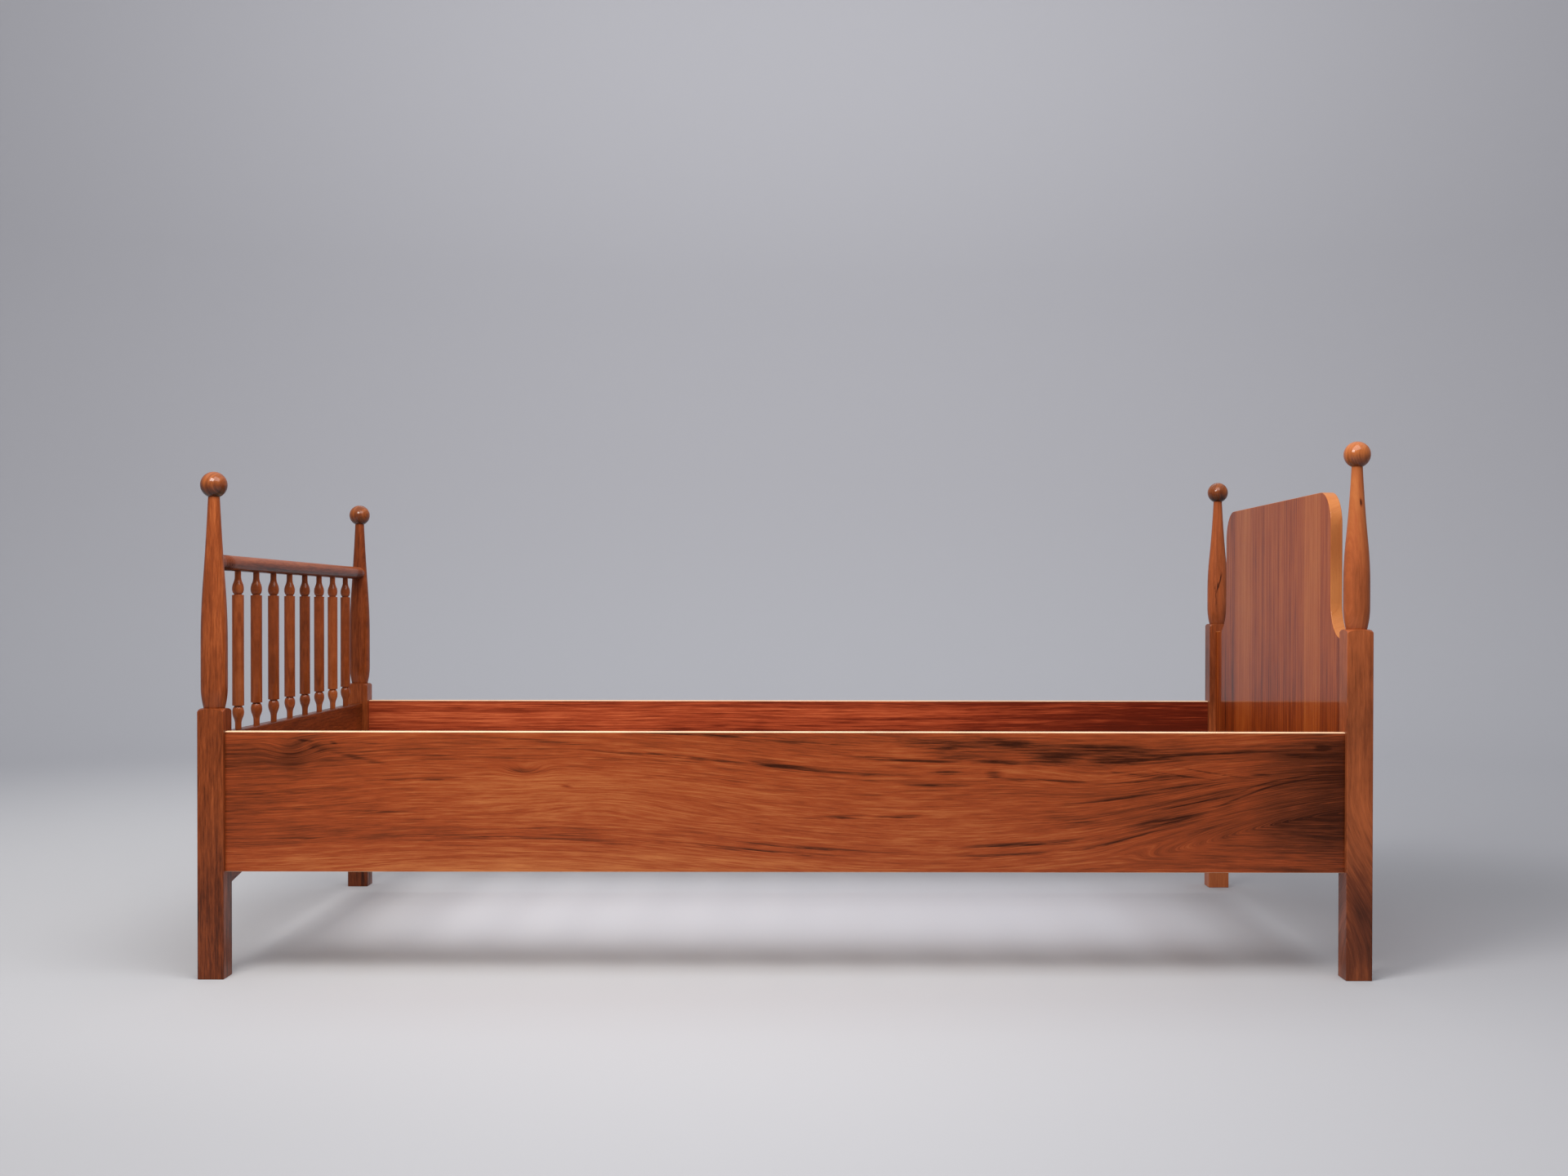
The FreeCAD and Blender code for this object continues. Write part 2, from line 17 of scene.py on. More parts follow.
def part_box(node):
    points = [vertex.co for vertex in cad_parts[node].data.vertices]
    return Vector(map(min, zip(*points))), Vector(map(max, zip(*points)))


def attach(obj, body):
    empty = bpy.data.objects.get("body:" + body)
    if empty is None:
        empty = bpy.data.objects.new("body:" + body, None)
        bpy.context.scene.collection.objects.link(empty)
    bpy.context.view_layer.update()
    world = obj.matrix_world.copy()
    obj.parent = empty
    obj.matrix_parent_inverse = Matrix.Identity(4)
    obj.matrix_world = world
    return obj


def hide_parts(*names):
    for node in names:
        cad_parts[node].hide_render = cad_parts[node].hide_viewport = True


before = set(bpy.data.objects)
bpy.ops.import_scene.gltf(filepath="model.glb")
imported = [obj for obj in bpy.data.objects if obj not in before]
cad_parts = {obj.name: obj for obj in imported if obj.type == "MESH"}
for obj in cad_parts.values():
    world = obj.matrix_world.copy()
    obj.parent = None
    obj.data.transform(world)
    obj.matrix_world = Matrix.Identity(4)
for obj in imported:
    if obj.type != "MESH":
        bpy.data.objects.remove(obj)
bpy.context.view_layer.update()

log = logging.getLogger("bed_frame")

Colour = tuple[float, float, float]
Point = tuple[float, float]
Place = tuple[float, float, float]

MILLIMETRE = 0.001
MERGE_DISTANCE = 0.001 * MILLIMETRE
FULL_TURN = 2 * math.pi
STRAIGHT_TURN = 1e-9
BODY = "root"

SCREEN_TOP = 255
SCREEN_KNEE = 0.04045
SCREEN_SLOPE = 12.92
SCREEN_LIFT = 0.055
SCREEN_POWER = 2.4


def mm(length: float) -> float:
    """A length in millimetres, in metres."""
    return length * MILLIMETRE


def screen(red: int, green: int, blue: int) -> Colour:
    """A colour as a screen shows it, from 0 to 255, in the linear light that shaders take.

    Args:
        red, green, blue: the three screen values.

    Returns:
        The same colour in linear light.
    """
    linear = []
    for share in (red / SCREEN_TOP, green / SCREEN_TOP, blue / SCREEN_TOP):
        if share <= SCREEN_KNEE:
            linear.append(share / SCREEN_SLOPE)
        else:
            linear.append(((share + SCREEN_LIFT) / (1 + SCREEN_LIFT)) ** SCREEN_POWER)
    return tuple(linear)


def smooth_step(value: float, low: float, high: float) -> float:
    """A smooth step from 0 at low to 1 at high, or down where low is the larger."""
    share = min(1.0, max(0.0, (value - low) / (high - low)))
    return share * share * (3 - 2 * share)


def box_of(node: str) -> tuple[Vector, Vector, Vector]:
    """The low corner, the middle and the high corner of a node's box."""
    low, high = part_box(node)
    return low, (low + high) / 2, high


class Cut(Enum):
    """How a board lies: the axes along its grain, across its face and through its thickness."""

    SIDE_RAIL = ("X", "Z", "Y")
    POST = ("Z", "X", "Y")
    HEAD_PANEL = ("Z", "Y", "X")
    CROSS_RAIL = ("Y", "Z", "X")
    SLAT = ("Y", "X", "Z")


class End(Enum):
    """The two ends of the bed."""

    FOOT = "foot"
    HEAD = "head"


class Side(Enum):
    """The two sides of the bed, with the direction from each towards the middle."""

    FRONT = ("front", 1.0)
    BACK = ("back", -1.0)

    def __init__(self, word: str, inward: float) -> None:
        """Keep the side's word in node names and its way inward along Y."""
        self.word = word
        self.inward = inward


class Slot(Enum):
    """The record's material slots of the pieces that are built here."""

    POST = "post_wood"
    BALL = "ball_wood"
    TURNED = "turned_wood"
    SCREW = "screw_steel"


class Combine(Enum):
    """How one solid works on another."""

    CUT = "DIFFERENCE"
    JOIN = "UNION"
    OVERLAP = "INTERSECT"


class Signal:
    """One output of a node, with arithmetic that adds Math nodes."""

    def __init__(self, graph: "Graph", socket: bpy.types.NodeSocket) -> None:
        """Wrap a socket of a graph."""
        self.graph = graph
        self.socket = socket

    def output(self, name: str) -> "Signal":
        """Another output of the same node."""
        return Signal(self.graph, self.socket.node.outputs[name])

    def __add__(self, other: "Signal | float") -> "Signal":
        """The sum."""
        return self.graph.math("ADD", self, other)

    __radd__ = __add__

    def __sub__(self, other: "Signal | float") -> "Signal":
        """The difference."""
        return self.graph.math("SUBTRACT", self, other)

    def __rsub__(self, other: "Signal | float") -> "Signal":
        """The difference the other way round."""
        return self.graph.math("SUBTRACT", other, self)

    def __mul__(self, other: "Signal | float") -> "Signal":
        """The product."""
        return self.graph.math("MULTIPLY", self, other)

    __rmul__ = __mul__

    def larger(self, other: "Signal | float") -> "Signal":
        """The larger of the two."""
        return self.graph.math("MAXIMUM", self, other)

    def size(self) -> "Signal":
        """The value without its sign."""
        return self.graph.math("ABSOLUTE", self)

    def eased(self, low: float, high: float) -> "Signal":
        """A smooth step from 0 at low to 1 at high, or down where low is the larger.

        Args:
            low: the value at which the step is 0.
            high: the value at which the step is 1.

        Returns:
            The step, from 0 to 1.
        """
        inputs = {"Value": self, "From Min": min(low, high), "From Max": max(low, high)}
        if low > high:
            inputs |= {"To Min": 1.0, "To Max": 0.0}
        settings = {"interpolation_type": "SMOOTHSTEP"}
        return self.graph.node("ShaderNodeMapRange", settings, inputs)


class Graph:
    """The node tree of one material."""

    MIX_COLOUR_SOCKETS = (0, 6, 7)
    MIX_COLOUR_RESULT = 2

    def __init__(self, name: str) -> None:
        """Start an empty material.

        Args:
            name: the material's name.
        """
        self.material = bpy.data.materials.new(name)
        self.material.use_nodes = True
        self.tree = self.material.node_tree
        self.tree.nodes.clear()

    def node(
        self,
        kind: str,
        settings: dict[str, Any] | None = None,
        inputs: dict[str | int, Any] | None = None,
        output: str | int = 0,
    ) -> Signal:
        """Add a node.

        Args:
            kind: the node's type.
            settings: set before its sockets; "stops" are a ramp's places and colours.
            inputs: values or signals for its sockets, by name or number.
            output: the output to return.

        Returns:
            That output as a signal.
        """
        made = self.tree.nodes.new(kind)
        for key, value in (settings or {}).items():
            if key == "stops":
                self._place_stops(made.color_ramp, value)
            else:
                setattr(made, key, value)
        for key, value in (inputs or {}).items():
            if isinstance(value, Signal):
                self.tree.links.new(value.socket, made.inputs[key])
            else:
                made.inputs[key].default_value = value
        return Signal(self, made.outputs[output])

    @staticmethod
    def _place_stops(ramp: bpy.types.ColorRamp, stops: Iterable[tuple[float, Colour]]) -> None:
        """Put a ramp's colours at their places.

        Args:
            ramp: the ramp, with the two stops that it starts with.
            stops: the places and colours.
        """
        for index, (place, colour) in enumerate(stops):
            if index >= len(ramp.elements):
                ramp.elements.new(place)
            ramp.elements[index].position = place
            ramp.elements[index].color = (*colour, 1.0)

    def math(self, operation: str, *values: "Signal | float") -> Signal:
        """A Math node on signals and numbers."""
        return self.node("ShaderNodeMath", {"operation": operation}, dict(enumerate(values)))

    def vector_math(self, operation: str, *values: Any, output: str | int = 0) -> Signal:
        """A Vector Math node on vectors."""
        inputs = dict(enumerate(values))
        return self.node("ShaderNodeVectorMath", {"operation": operation}, inputs, output)

    def combine(self, x: "Signal | float", y: "Signal | float", z: "Signal | float") -> Signal:
        """A vector from its three parts."""
        return self.node("ShaderNodeCombineXYZ", None, {"X": x, "Y": y, "Z": z})

    def place(self) -> Signal:
        """The place on the piece, in its Object coordinates."""
        return self.node("ShaderNodeTexCoord", output="Object")

    def parts(self, vector: Signal) -> Signal:
        """A node with the outputs X, Y and Z of a vector."""
        return self.node("ShaderNodeSeparateXYZ", None, {0: vector})

    def noise(
        self, place: Signal, counts: Place, detail: float = 2.0, rough: float = 0.5
    ) -> Signal:
        """Noise with its own counts in a metre along each axis.

        Args:
            place: the place in the noise.
            counts: how often it changes in a metre along each axis.
            detail: how many finer layers it has.
            rough: how strong each is to the one before.

        Returns:
            The noise, from 0 to 1.
        """
        stretched = self.vector_math("MULTIPLY", place, counts)
        inputs = {"Vector": stretched, "Scale": 1.0, "Detail": detail, "Roughness": rough}
        return self.node("ShaderNodeTexNoise", None, inputs)

    def oval(
        self, place: Signal, centre: Point, reach: Point, turn: float = 0.0, depth: float = 1.0
    ) -> Signal:
        """A soft oval, 1 at its centre and 0 at its rim.

        Args:
            place: the place on the face.
            centre: the oval's centre.
            reach: its half sizes.
            turn: its turn on the face, in radians.
            depth: its half size along the third axis.

        Returns:
            The oval as a mask.
        """
        inputs = {"Vector": place, "Location": (*centre, 0.0), "Rotation": (0.0, 0.0, turn),
                  "Scale": (*reach, depth)}
        local = self.node("ShaderNodeMapping", {"vector_type": "TEXTURE"}, inputs)
        return self.vector_math("LENGTH", local, output="Value").eased(1.0, 0.0)

    def mix(self, factor: "Signal | float", first: Any, second: Any) -> Signal:
        """A mix of two colours.

        Args:
            factor: the share of the second colour.
            first: a colour or a signal.
            second: a colour or a signal.

        Returns:
            The mixed colour.
        """
        colours = (factor, self._solid(first), self._solid(second))
        inputs = dict(zip(self.MIX_COLOUR_SOCKETS, colours))
        return self.node("ShaderNodeMix", {"data_type": "RGBA"}, inputs, self.MIX_COLOUR_RESULT)

    @staticmethod
    def _solid(colour: Any) -> Any:
        """A plain colour with its alpha, or a signal as it is."""
        return colour if isinstance(colour, Signal) else (*colour, 1.0)

    def surface(self, **values: Any) -> bpy.types.Material:
        """Close the graph with a Principled shader.

        Args:
            values: the shader's sockets, with underscores for spaces in their names.

        Returns:
            The finished material.
        """
        inputs = {key.replace("_", " "): value for key, value in values.items()}
        inputs["Base Color"] = self._solid(inputs["Base Color"])
        shader = self.node("ShaderNodeBsdfPrincipled", None, inputs)
        made = self.tree.nodes.new("ShaderNodeOutputMaterial")
        self.tree.links.new(shader.socket, made.inputs["Surface"])
        return self.material


@dataclass(frozen=True)
class Grain:
    """How one piece was cut from its log.

    Attributes:
        cut: how the board lies.
        seed: a shift of the whole pattern, different for each piece.
        pith: where the log's centre lies, across the face and through the thickness.
        tone: how much deeper than the finish's body colour the piece is; below 0 it is paler.
    """

    cut: Cut
    seed: float
    pith: Point
    tone: float = 0.0


@dataclass(frozen=True)
class Eye:
    """A swirl that the grain flows round: centre, half sizes, and how far it pushes the lines."""

    centre: Point
    reach: Point
    push: float


@dataclass(frozen=True)
class Slant:
    """A stretch in which the lines rise: where along the board, how far, and where across it."""

    along: Point
    rise: float
    across: Point = (-9.0, -8.0)

    def lift_at(self, along: float, level: float) -> float:
        """How far the lines have risen at a place along the board and a level across it."""
        return self.rise * smooth_step(along, *self.along) * smooth_step(level, *self.across)


@dataclass(frozen=True)
class Mark:
    """A dark line along the grain: its two ends on the face, its half width and its depth."""

    start: Point
    end: Point
    half_width: float
    depth: float


@dataclass(frozen=True)
class Cloud:
    """A soft area that is deeper in colour, or paler where its depth is below 0."""

    centre: Point
    reach: Point
    depth: float


@dataclass(frozen=True)
class Leaf:
    """A leaf of veneer: where it starts across the face, and its tone."""

    start: float
    tone: float


@dataclass(frozen=True)
class Figure:
    """What makes one board unlike the next.

    Attributes:
        eyes: swirls of the grain.
        slants: rises of the grain.
        marks: dark lines.
        clouds: soft areas that are deeper or paler.
        leaves: leaves of veneer.
        dull: areas in which the lacquer is duller.
    """

    eyes: tuple[Eye, ...] = ()
    slants: tuple[Slant, ...] = ()
    marks: tuple[Mark, ...] = ()
    clouds: tuple[Cloud, ...] = ()
    leaves: tuple[Leaf, ...] = ()
    dull: tuple[Cloud, ...] = ()

    def level(self, place: Point) -> Vector:
        """A place with the rise of the lines taken off, so that a line stays at one height.

        Args:
            place: the place along the board and across it.

        Returns:
            The place on the board before its lines rise.
        """
        along, level = place
        for slant in self.slants:
            level -= slant.lift_at(along, level)
        return Vector((along, level))


def eyes(*rows: tuple[float, ...]) -> tuple[Eye, ...]:
    """Swirls from rows of centre and half sizes in millimetres, and push."""
    return tuple(Eye((mm(x), mm(y)), (mm(w), mm(h)), push) for x, y, w, h, push in rows)


def clouds(*rows: tuple[float, ...]) -> tuple[Cloud, ...]:
    """Soft areas from rows of centre and half sizes in millimetres, and depth."""
    return tuple(Cloud((mm(x), mm(y)), (mm(w), mm(h)), depth) for x, y, w, h, depth in rows)


def marks(*rows: tuple[float, ...]) -> tuple[Mark, ...]:
    """Dark lines from rows of two ends and half width in millimetres, and depth."""
    return tuple(Mark((mm(x), mm(y)), (mm(to_x), mm(to_y)), mm(width), depth)
                 for x, y, to_x, to_y, width, depth in rows)


@dataclass(frozen=True)
class Lipping:
    """The plain wood at a board's edges, with its painted highlight and any painted shade.

    Attributes:
        middle: the middle of the board's thickness.
        half_face: half the thickness that the edge wood shows.
        colour: the edge wood's colour, paler than the wood, which also paints a highlight on the
            edge.
        clouds: areas in which the edge wood is painted deeper, as painted shade.
    """

    middle: float
    half_face: float
    colour: Colour
    clouds: tuple[Cloud, ...] = ()


@dataclass(frozen=True)
class Layers:
    """The layers of noise in a piece of wood, each from 0 to 1."""

    bands: Signal
    rings: Signal
    lines: Signal
    fibres: Signal
    mottle: Signal
    veins: Signal
    pores: Signal


@dataclass(frozen=True)
class WoodFinish:
    """A lacquered wood: its four colours from pale to vein, its layers of noise and its lacquer.

    The counts are of changes in a metre along and across the grain. The contrasts say how far
    each layer moves the tone. The two places say where the body and deep colours lie between
    pale at 0 and vein at 1.
    """

    pale: Colour
    body: Colour
    deep: Colour
    vein: Colour
    body_place: float = 0.42
    deep_place: float = 0.74
    wave: float = mm(9)
    wave_count: Point = (1.1, 6.0)
    band_count: Point = (0.7, 26.0)
    band_contrast: float = 0.50
    ring_count: Point = (1.1, 85.0)
    ring_contrast: float = 0.40
    line_count: Point = (9.0, 160.0)
    line_contrast: float = 0.85
    fibre_count: Point = (30.0, 400.0)
    fibre_contrast: float = 0.80
    mottle_count: Point = (9.0, 26.0)
    mottle_contrast: float = 0.30
    vein_count: Point = (1.3, 34.0)
    vein_contrast: float = 0.16
    pore_count: Point = (70.0, 1500.0)
    pore_contrast: float = 0.16
    roughness: float = 0.42
    specular: float = 0.03
    coat: float = 0.24
    coat_roughness: float = 0.12

    LINE_DETAIL = (4.0, 0.72)
    FIBRE_DETAIL = (3.0, 0.65)
    VEIN_DETAIL = (3.0, 0.5)
    VEIN_WIDTH = 0.02
    VEIN_BANDS = (0.40, 0.62)
    PORE_EDGE = (0.56, 0.72)
    SEAM_WIDTH = mm(0.9)
    LEAF_BLUR = SEAM_WIDTH / 4
    SEAM_DEPTH = 0.35
    LEAF_SHIFT = 3
    EDGE_BLUR = mm(0.4)
    EDGE_LINES = (0.42, 1.0)
    LINE_ROUGHNESS = 0.2
    PORE_ROUGHNESS = 0.1
    BUMP_STRENGTH = 0.5
    BUMP_DEPTH = mm(0.05)
    MARK_REACH = 0.65
    MARK_LINE_WANDER = mm(8)
    MARK_BAND_WANDER = mm(10)
    MARK_FIBRE_WANDER = mm(6)
    MARK_LINES = (0.36, 0.60)
    MARK_FIBRES = (0.38, 0.60)
    MARK_BREAKS = 0.45
    MARK_BASE = 0.36

    def material(
        self,
        name: str,
        grain: Grain,
        figure: Figure = Figure(),
        lipping: Lipping | None = None,
    ) -> bpy.types.Material:
        """The material of one piece.

        Args:
            name: the material's name.
            grain: how the piece was cut.
            figure: its own swirls, lines and leaves.
            lipping: the edge wood, where the piece is veneered.

        Returns:
            The finished material.
        """
        graph = Graph(name)
        parts = graph.parts(graph.place())
        along, across, through = (parts.output(letter) for letter in grain.cut.value)
        face = graph.combine(along, across, 0.0)
        leaf_tone, leaf_shift, seams = self._leaves(across, figure.leaves)
        seeded = graph.vector_math(
            "ADD", graph.combine(along, across, through),
            graph.combine(grain.seed, leaf_shift + grain.seed, grain.seed))
        depth = self._depth_in_log(graph, grain, across, through, seeded) + leaf_shift
        for eye in figure.eyes:
            depth = depth + graph.oval(face, eye.centre, eye.reach) * eye.push
        lift = across * 0.0
        for slant in figure.slants:
            share = along.eased(*slant.along) * (across - lift).eased(*slant.across)
            lift = lift + share * slant.rise
        layered = graph.combine(along + grain.seed, depth - lift, grain.seed)
        layers = self._layers(graph, layered, seeded)
        tone = self._tone(self.body_place + grain.tone + leaf_tone, layers)
        tone = tone + self._figure_depth(graph, face, lift, layers, figure)
        stops = ((0.0, self.pale), (self.body_place, self.body), (self.deep_place, self.deep),
                 (1.0, self.vein))
        colour = graph.node("ShaderNodeValToRGB", {"stops": stops},
                            {"Fac": tone + seams * self.SEAM_DEPTH})
        if lipping:
            distance = (through - lipping.middle).size()
            edge = distance.eased(lipping.half_face, lipping.half_face - self.EDGE_BLUR)
            colour = graph.mix(edge, colour, self._edge_colour(graph, face, layers.lines, lipping))
        coat: Signal | float = self.coat
        for cloud in figure.dull:
            coat = (1.0 - graph.oval(face, cloud.centre, cloud.reach) * cloud.depth) * coat
        bump = {"Strength": self.BUMP_STRENGTH, "Distance": self.BUMP_DEPTH,
                "Height": layers.lines - layers.pores}
        return graph.surface(
            Base_Color=graph.mix(layers.pores * self.pore_contrast, colour, self.vein),
            Roughness=(self.roughness + (layers.lines - 0.5) * self.LINE_ROUGHNESS
                       + layers.pores * self.PORE_ROUGHNESS),
            Specular_IOR_Level=self.specular,
            Normal=graph.node("ShaderNodeBump", None, bump),
            Coat_Weight=coat,
            Coat_Roughness=self.coat_roughness,
        )

    def _leaves(self, across: Signal, leaves: tuple[Leaf, ...]) -> tuple[Any, Any, Any]:
        """The veneer leaves of a face.

        Args:
            across: the place across the face.
            leaves: the leaves, in their order across the face.

        Returns:
            Their tone, the shift of their pattern, and the seams as a mask.
        """
        tone: Signal | float = leaves[0].tone if leaves else 0.0
        shift = across * 0.0
        seams: Signal | float = 0.0
        for last, leaf in zip(leaves, leaves[1:]):
            inside = across.eased(leaf.start - self.LEAF_BLUR, leaf.start + self.LEAF_BLUR)
            tone = tone + inside * (leaf.tone - last.tone)
            shift = shift + inside * (self.LEAF_SHIFT * (leaf.start - last.start))
            seams = seams + (across - leaf.start).size().eased(self.SEAM_WIDTH, 0.0)
        return tone, shift, seams

    def _depth_in_log(
        self, graph: Graph, grain: Grain, across: Signal, through: Signal, seeded: Signal
    ) -> Signal:
        """The distance from the log's centre, with the slow waves of a grown tree.

        Args:
            graph: the material's graph.
            grain: how the piece was cut.
            across, through: the place across the face and through the thickness.
            seeded: the place in the piece's own noise.

        Returns:
            The distance in metres.
        """
        offset = graph.combine(across - grain.pith[0], through - grain.pith[1], 0.0)
        distance = graph.vector_math("LENGTH", offset, output="Value")
        wave = self._noise(graph, seeded, self.wave_count)
        return distance + (wave - 0.5) * (2 * self.wave)

    @staticmethod
    def _noise(graph: Graph, place: Signal, count: Point, *detail: float) -> Signal:
        """Noise with its own counts in a metre along and across the grain."""
        return graph.noise(place, (count[0], count[1], count[1]), *detail)

    def _layers(self, graph: Graph, layered: Signal, seeded: Signal) -> Layers:
        """The layers of noise.

        Args:
            graph: the material's graph.
            layered: the place along the grain and in the depth of the log.
            seeded: the place in the piece.

        Returns:
            The layers.
        """
        bands = self._noise(graph, layered, self.band_count)
        ridge = self._noise(graph, layered, self.vein_count, *self.VEIN_DETAIL) - 0.5
        return Layers(
            bands=bands,
            rings=self._noise(graph, layered, self.ring_count),
            lines=self._noise(graph, layered, self.line_count, *self.LINE_DETAIL),
            fibres=self._noise(graph, layered, self.fibre_count, *self.FIBRE_DETAIL),
            mottle=self._noise(graph, seeded, self.mottle_count),
            veins=ridge.size().eased(self.VEIN_WIDTH, 0.0) * bands.eased(*self.VEIN_BANDS),
            pores=self._noise(graph, seeded, self.pore_count).eased(*self.PORE_EDGE),
        )

    def _tone(self, base: "Signal | float", layers: Layers) -> Signal:
        """The tone before the board's own figure, from pale at 0 to vein at 1.

        Args:
            base: the tone without its noise.
            layers: the layers of noise.

        Returns:
            The tone with its noise.
        """
        for layer, contrast in (
            (layers.bands, self.band_contrast),
            (layers.rings, self.ring_contrast),
            (layers.lines, self.line_contrast),
            (layers.fibres, self.fibre_contrast),
            (layers.mottle, self.mottle_contrast),
        ):
            base = base + (layer - 0.5) * contrast
        return base + layers.veins * self.vein_contrast

    def _figure_depth(
        self, graph: Graph, face: Signal, lift: Signal, layers: Layers, figure: Figure
    ) -> "Signal | float":
        """How much the board's own dark lines and soft areas deepen it.

        Args:
            graph: the material's graph.
            face: the place on the face.
            lift: how far the lines have risen there.
            layers: the layers of noise, which make the dark lines ragged.
            figure: the board's figure.

        Returns:
            What is added to the tone.
        """
        total: Signal | float = 0.0
        for cloud in figure.clouds:
            total = total + graph.oval(face, cloud.centre, cloud.reach) * cloud.depth
        if not figure.marks:
            return total
        wander = ((layers.lines - 0.5) * self.MARK_LINE_WANDER
                  + (layers.bands - 0.5) * self.MARK_BAND_WANDER
                  + (layers.fibres - 0.5) * self.MARK_FIBRE_WANDER - lift)
        level = graph.vector_math("ADD", face, graph.combine(0.0, wander, 0.0))
        deepest: Signal | float = 0.0
        for mark in figure.marks:
            start, end = figure.level(mark.start), figure.level(mark.end)
            line = end - start
            reach = (line.length * self.MARK_REACH, mark.half_width)
            oval = graph.oval(level, tuple((start + end) / 2), reach, math.atan2(line.y, line.x))
            deepest = (oval * mark.depth).larger(deepest)
        ragged = (layers.lines.eased(*self.MARK_LINES) * self.MARK_BREAKS
                  + layers.fibres.eased(*self.MARK_FIBRES) * self.MARK_BREAKS + self.MARK_BASE)
        return total + deepest * ragged

    def _edge_colour(self, graph: Graph, face: Signal, lines: Signal, lipping: Lipping) -> Signal:
        """The colour of the edge wood, with its painted highlight and painted shade.

        Args:
            graph: the material's graph.
            face: the place on the face.
            lines: the layer of lines.
            lipping: the edge wood.

        Returns:
            Its colour.
        """
        colour = graph.mix(lines.eased(*self.EDGE_LINES), lipping.colour, self.body)
        for cloud in lipping.clouds:
            shade = graph.oval(face, cloud.centre, cloud.reach) * cloud.depth
            colour = graph.mix(shade, colour, self.deep)
        return colour


@dataclass(frozen=True)
class SteelFinish:
    """Bright zinc on steel, with a faint brushed cloudiness."""

    bright: Colour = screen(176, 178, 182)
    dull: Colour = screen(128, 128, 124)
    roughness: float = 0.34
    roughness_wander: float = 0.2
    cloud_counts: Place = (60.0, 60.0, 60.0)
    cloud_detail: float = 3.0
    cloud_edge: Point = (0.35, 0.7)
    brush_counts: Place = (900.0, 900.0, 40.0)
    bump_strength: float = 0.4
    bump_depth: float = mm(0.02)

    def material(self, name: str) -> bpy.types.Material:
        """The material of a steel piece.

        Args:
            name: the material's name.

        Returns:
            The finished material.
        """
        graph = Graph(name)
        place = graph.place()
        dullness = graph.noise(place, self.cloud_counts, self.cloud_detail)
        brush = graph.noise(place, self.brush_counts)
        wander = self.roughness_wander
        bump = {"Strength": self.bump_strength, "Distance": self.bump_depth, "Height": brush}
        return graph.surface(
            Base_Color=graph.mix(dullness.eased(*self.cloud_edge), self.bright, self.dull),
            Roughness=self.roughness + (brush - 0.5) * wander + (dullness - 0.5) * wander,
            Metallic=1.0,
            Normal=graph.node("ShaderNodeBump", None, bump),
        )


MAHOGANY = WoodFinish(
    pale=screen(186, 102, 54), body=screen(140, 68, 33),
    deep=screen(98, 45, 21), vein=screen(50, 24, 14),
    coat=0.34, coat_roughness=0.09,
)
CALM_MAHOGANY = replace(MAHOGANY, band_contrast=0.26, ring_contrast=0.22, line_contrast=0.50)
HONEY_MAHOGANY = WoodFinish(
    pale=screen(206, 128, 72), body=screen(175, 93, 52),
    deep=screen(108, 53, 30), vein=screen(54, 26, 16),
    band_contrast=0.42, ring_contrast=0.14, line_contrast=0.42, fibre_contrast=0.34,
    vein_contrast=0.05, pore_contrast=0.10, coat=0.34, coat_roughness=0.09,
)
BALL_WOOD = WoodFinish(
    pale=screen(214, 130, 70), body=screen(176, 98, 50),
    deep=screen(112, 56, 28), vein=screen(56, 28, 14),
    band_contrast=0.34, ring_contrast=0.26, line_contrast=0.55, fibre_contrast=0.50,
    coat=0.78, coat_roughness=0.06, specular=0.02,
)
SPINDLE_WOOD = replace(
    MAHOGANY,
    band_contrast=0.26, ring_contrast=0.24, line_contrast=0.52, fibre_contrast=0.55,
    mottle_contrast=0.16, coat=0.40, coat_roughness=0.08,
)
ROUND_RAIL_WOOD = replace(SPINDLE_WOOD, coat=0.34, coat_roughness=0.10)
RAIL_WOOD = WoodFinish(
    pale=screen(192, 114, 64), body=screen(156, 70, 34),
    deep=screen(104, 48, 24), vein=screen(60, 24, 8),
    band_contrast=0.28, ring_contrast=0.30, line_contrast=0.72, mottle_contrast=0.20,
    fibre_contrast=0.90, line_count=(4.5, 160.0), fibre_count=(16.0, 400.0),
)
BACK_RAIL_WOOD = WoodFinish(
    pale=screen(204, 104, 64), body=screen(166, 72, 42),
    deep=screen(104, 36, 20), vein=screen(90, 31, 18),
    band_count=(0.4, 40.0), band_contrast=0.7, ring_contrast=0.7,
    line_count=(3.0, 150.0), line_contrast=1.2, fibre_count=(10.0, 320.0), fibre_contrast=1.3,
    body_place=0.30, deep_place=0.70,
)
PANEL_VENEER = WoodFinish(
    pale=screen(190, 108, 50), body=screen(166, 78, 29),
    deep=screen(122, 49, 19), vein=screen(64, 28, 12),
    wave=mm(4), wave_count=(0.5, 4.0), band_count=(0.25, 36.0), band_contrast=0.40,
    ring_count=(0.3, 90.0), ring_contrast=0.25, line_count=(1.2, 170.0), line_contrast=1.40,
    fibre_count=(8.0, 420.0), fibre_contrast=1.05, coat=0.38, coat_roughness=0.06, specular=0.02,
)
PINE = WoodFinish(
    pale=screen(232, 204, 158), body=screen(218, 182, 130),
    deep=screen(196, 148, 92), vein=screen(150, 100, 58),
    pore_contrast=0.08, roughness=0.62, coat=0.0,
)
ZINC = SteelFinish()

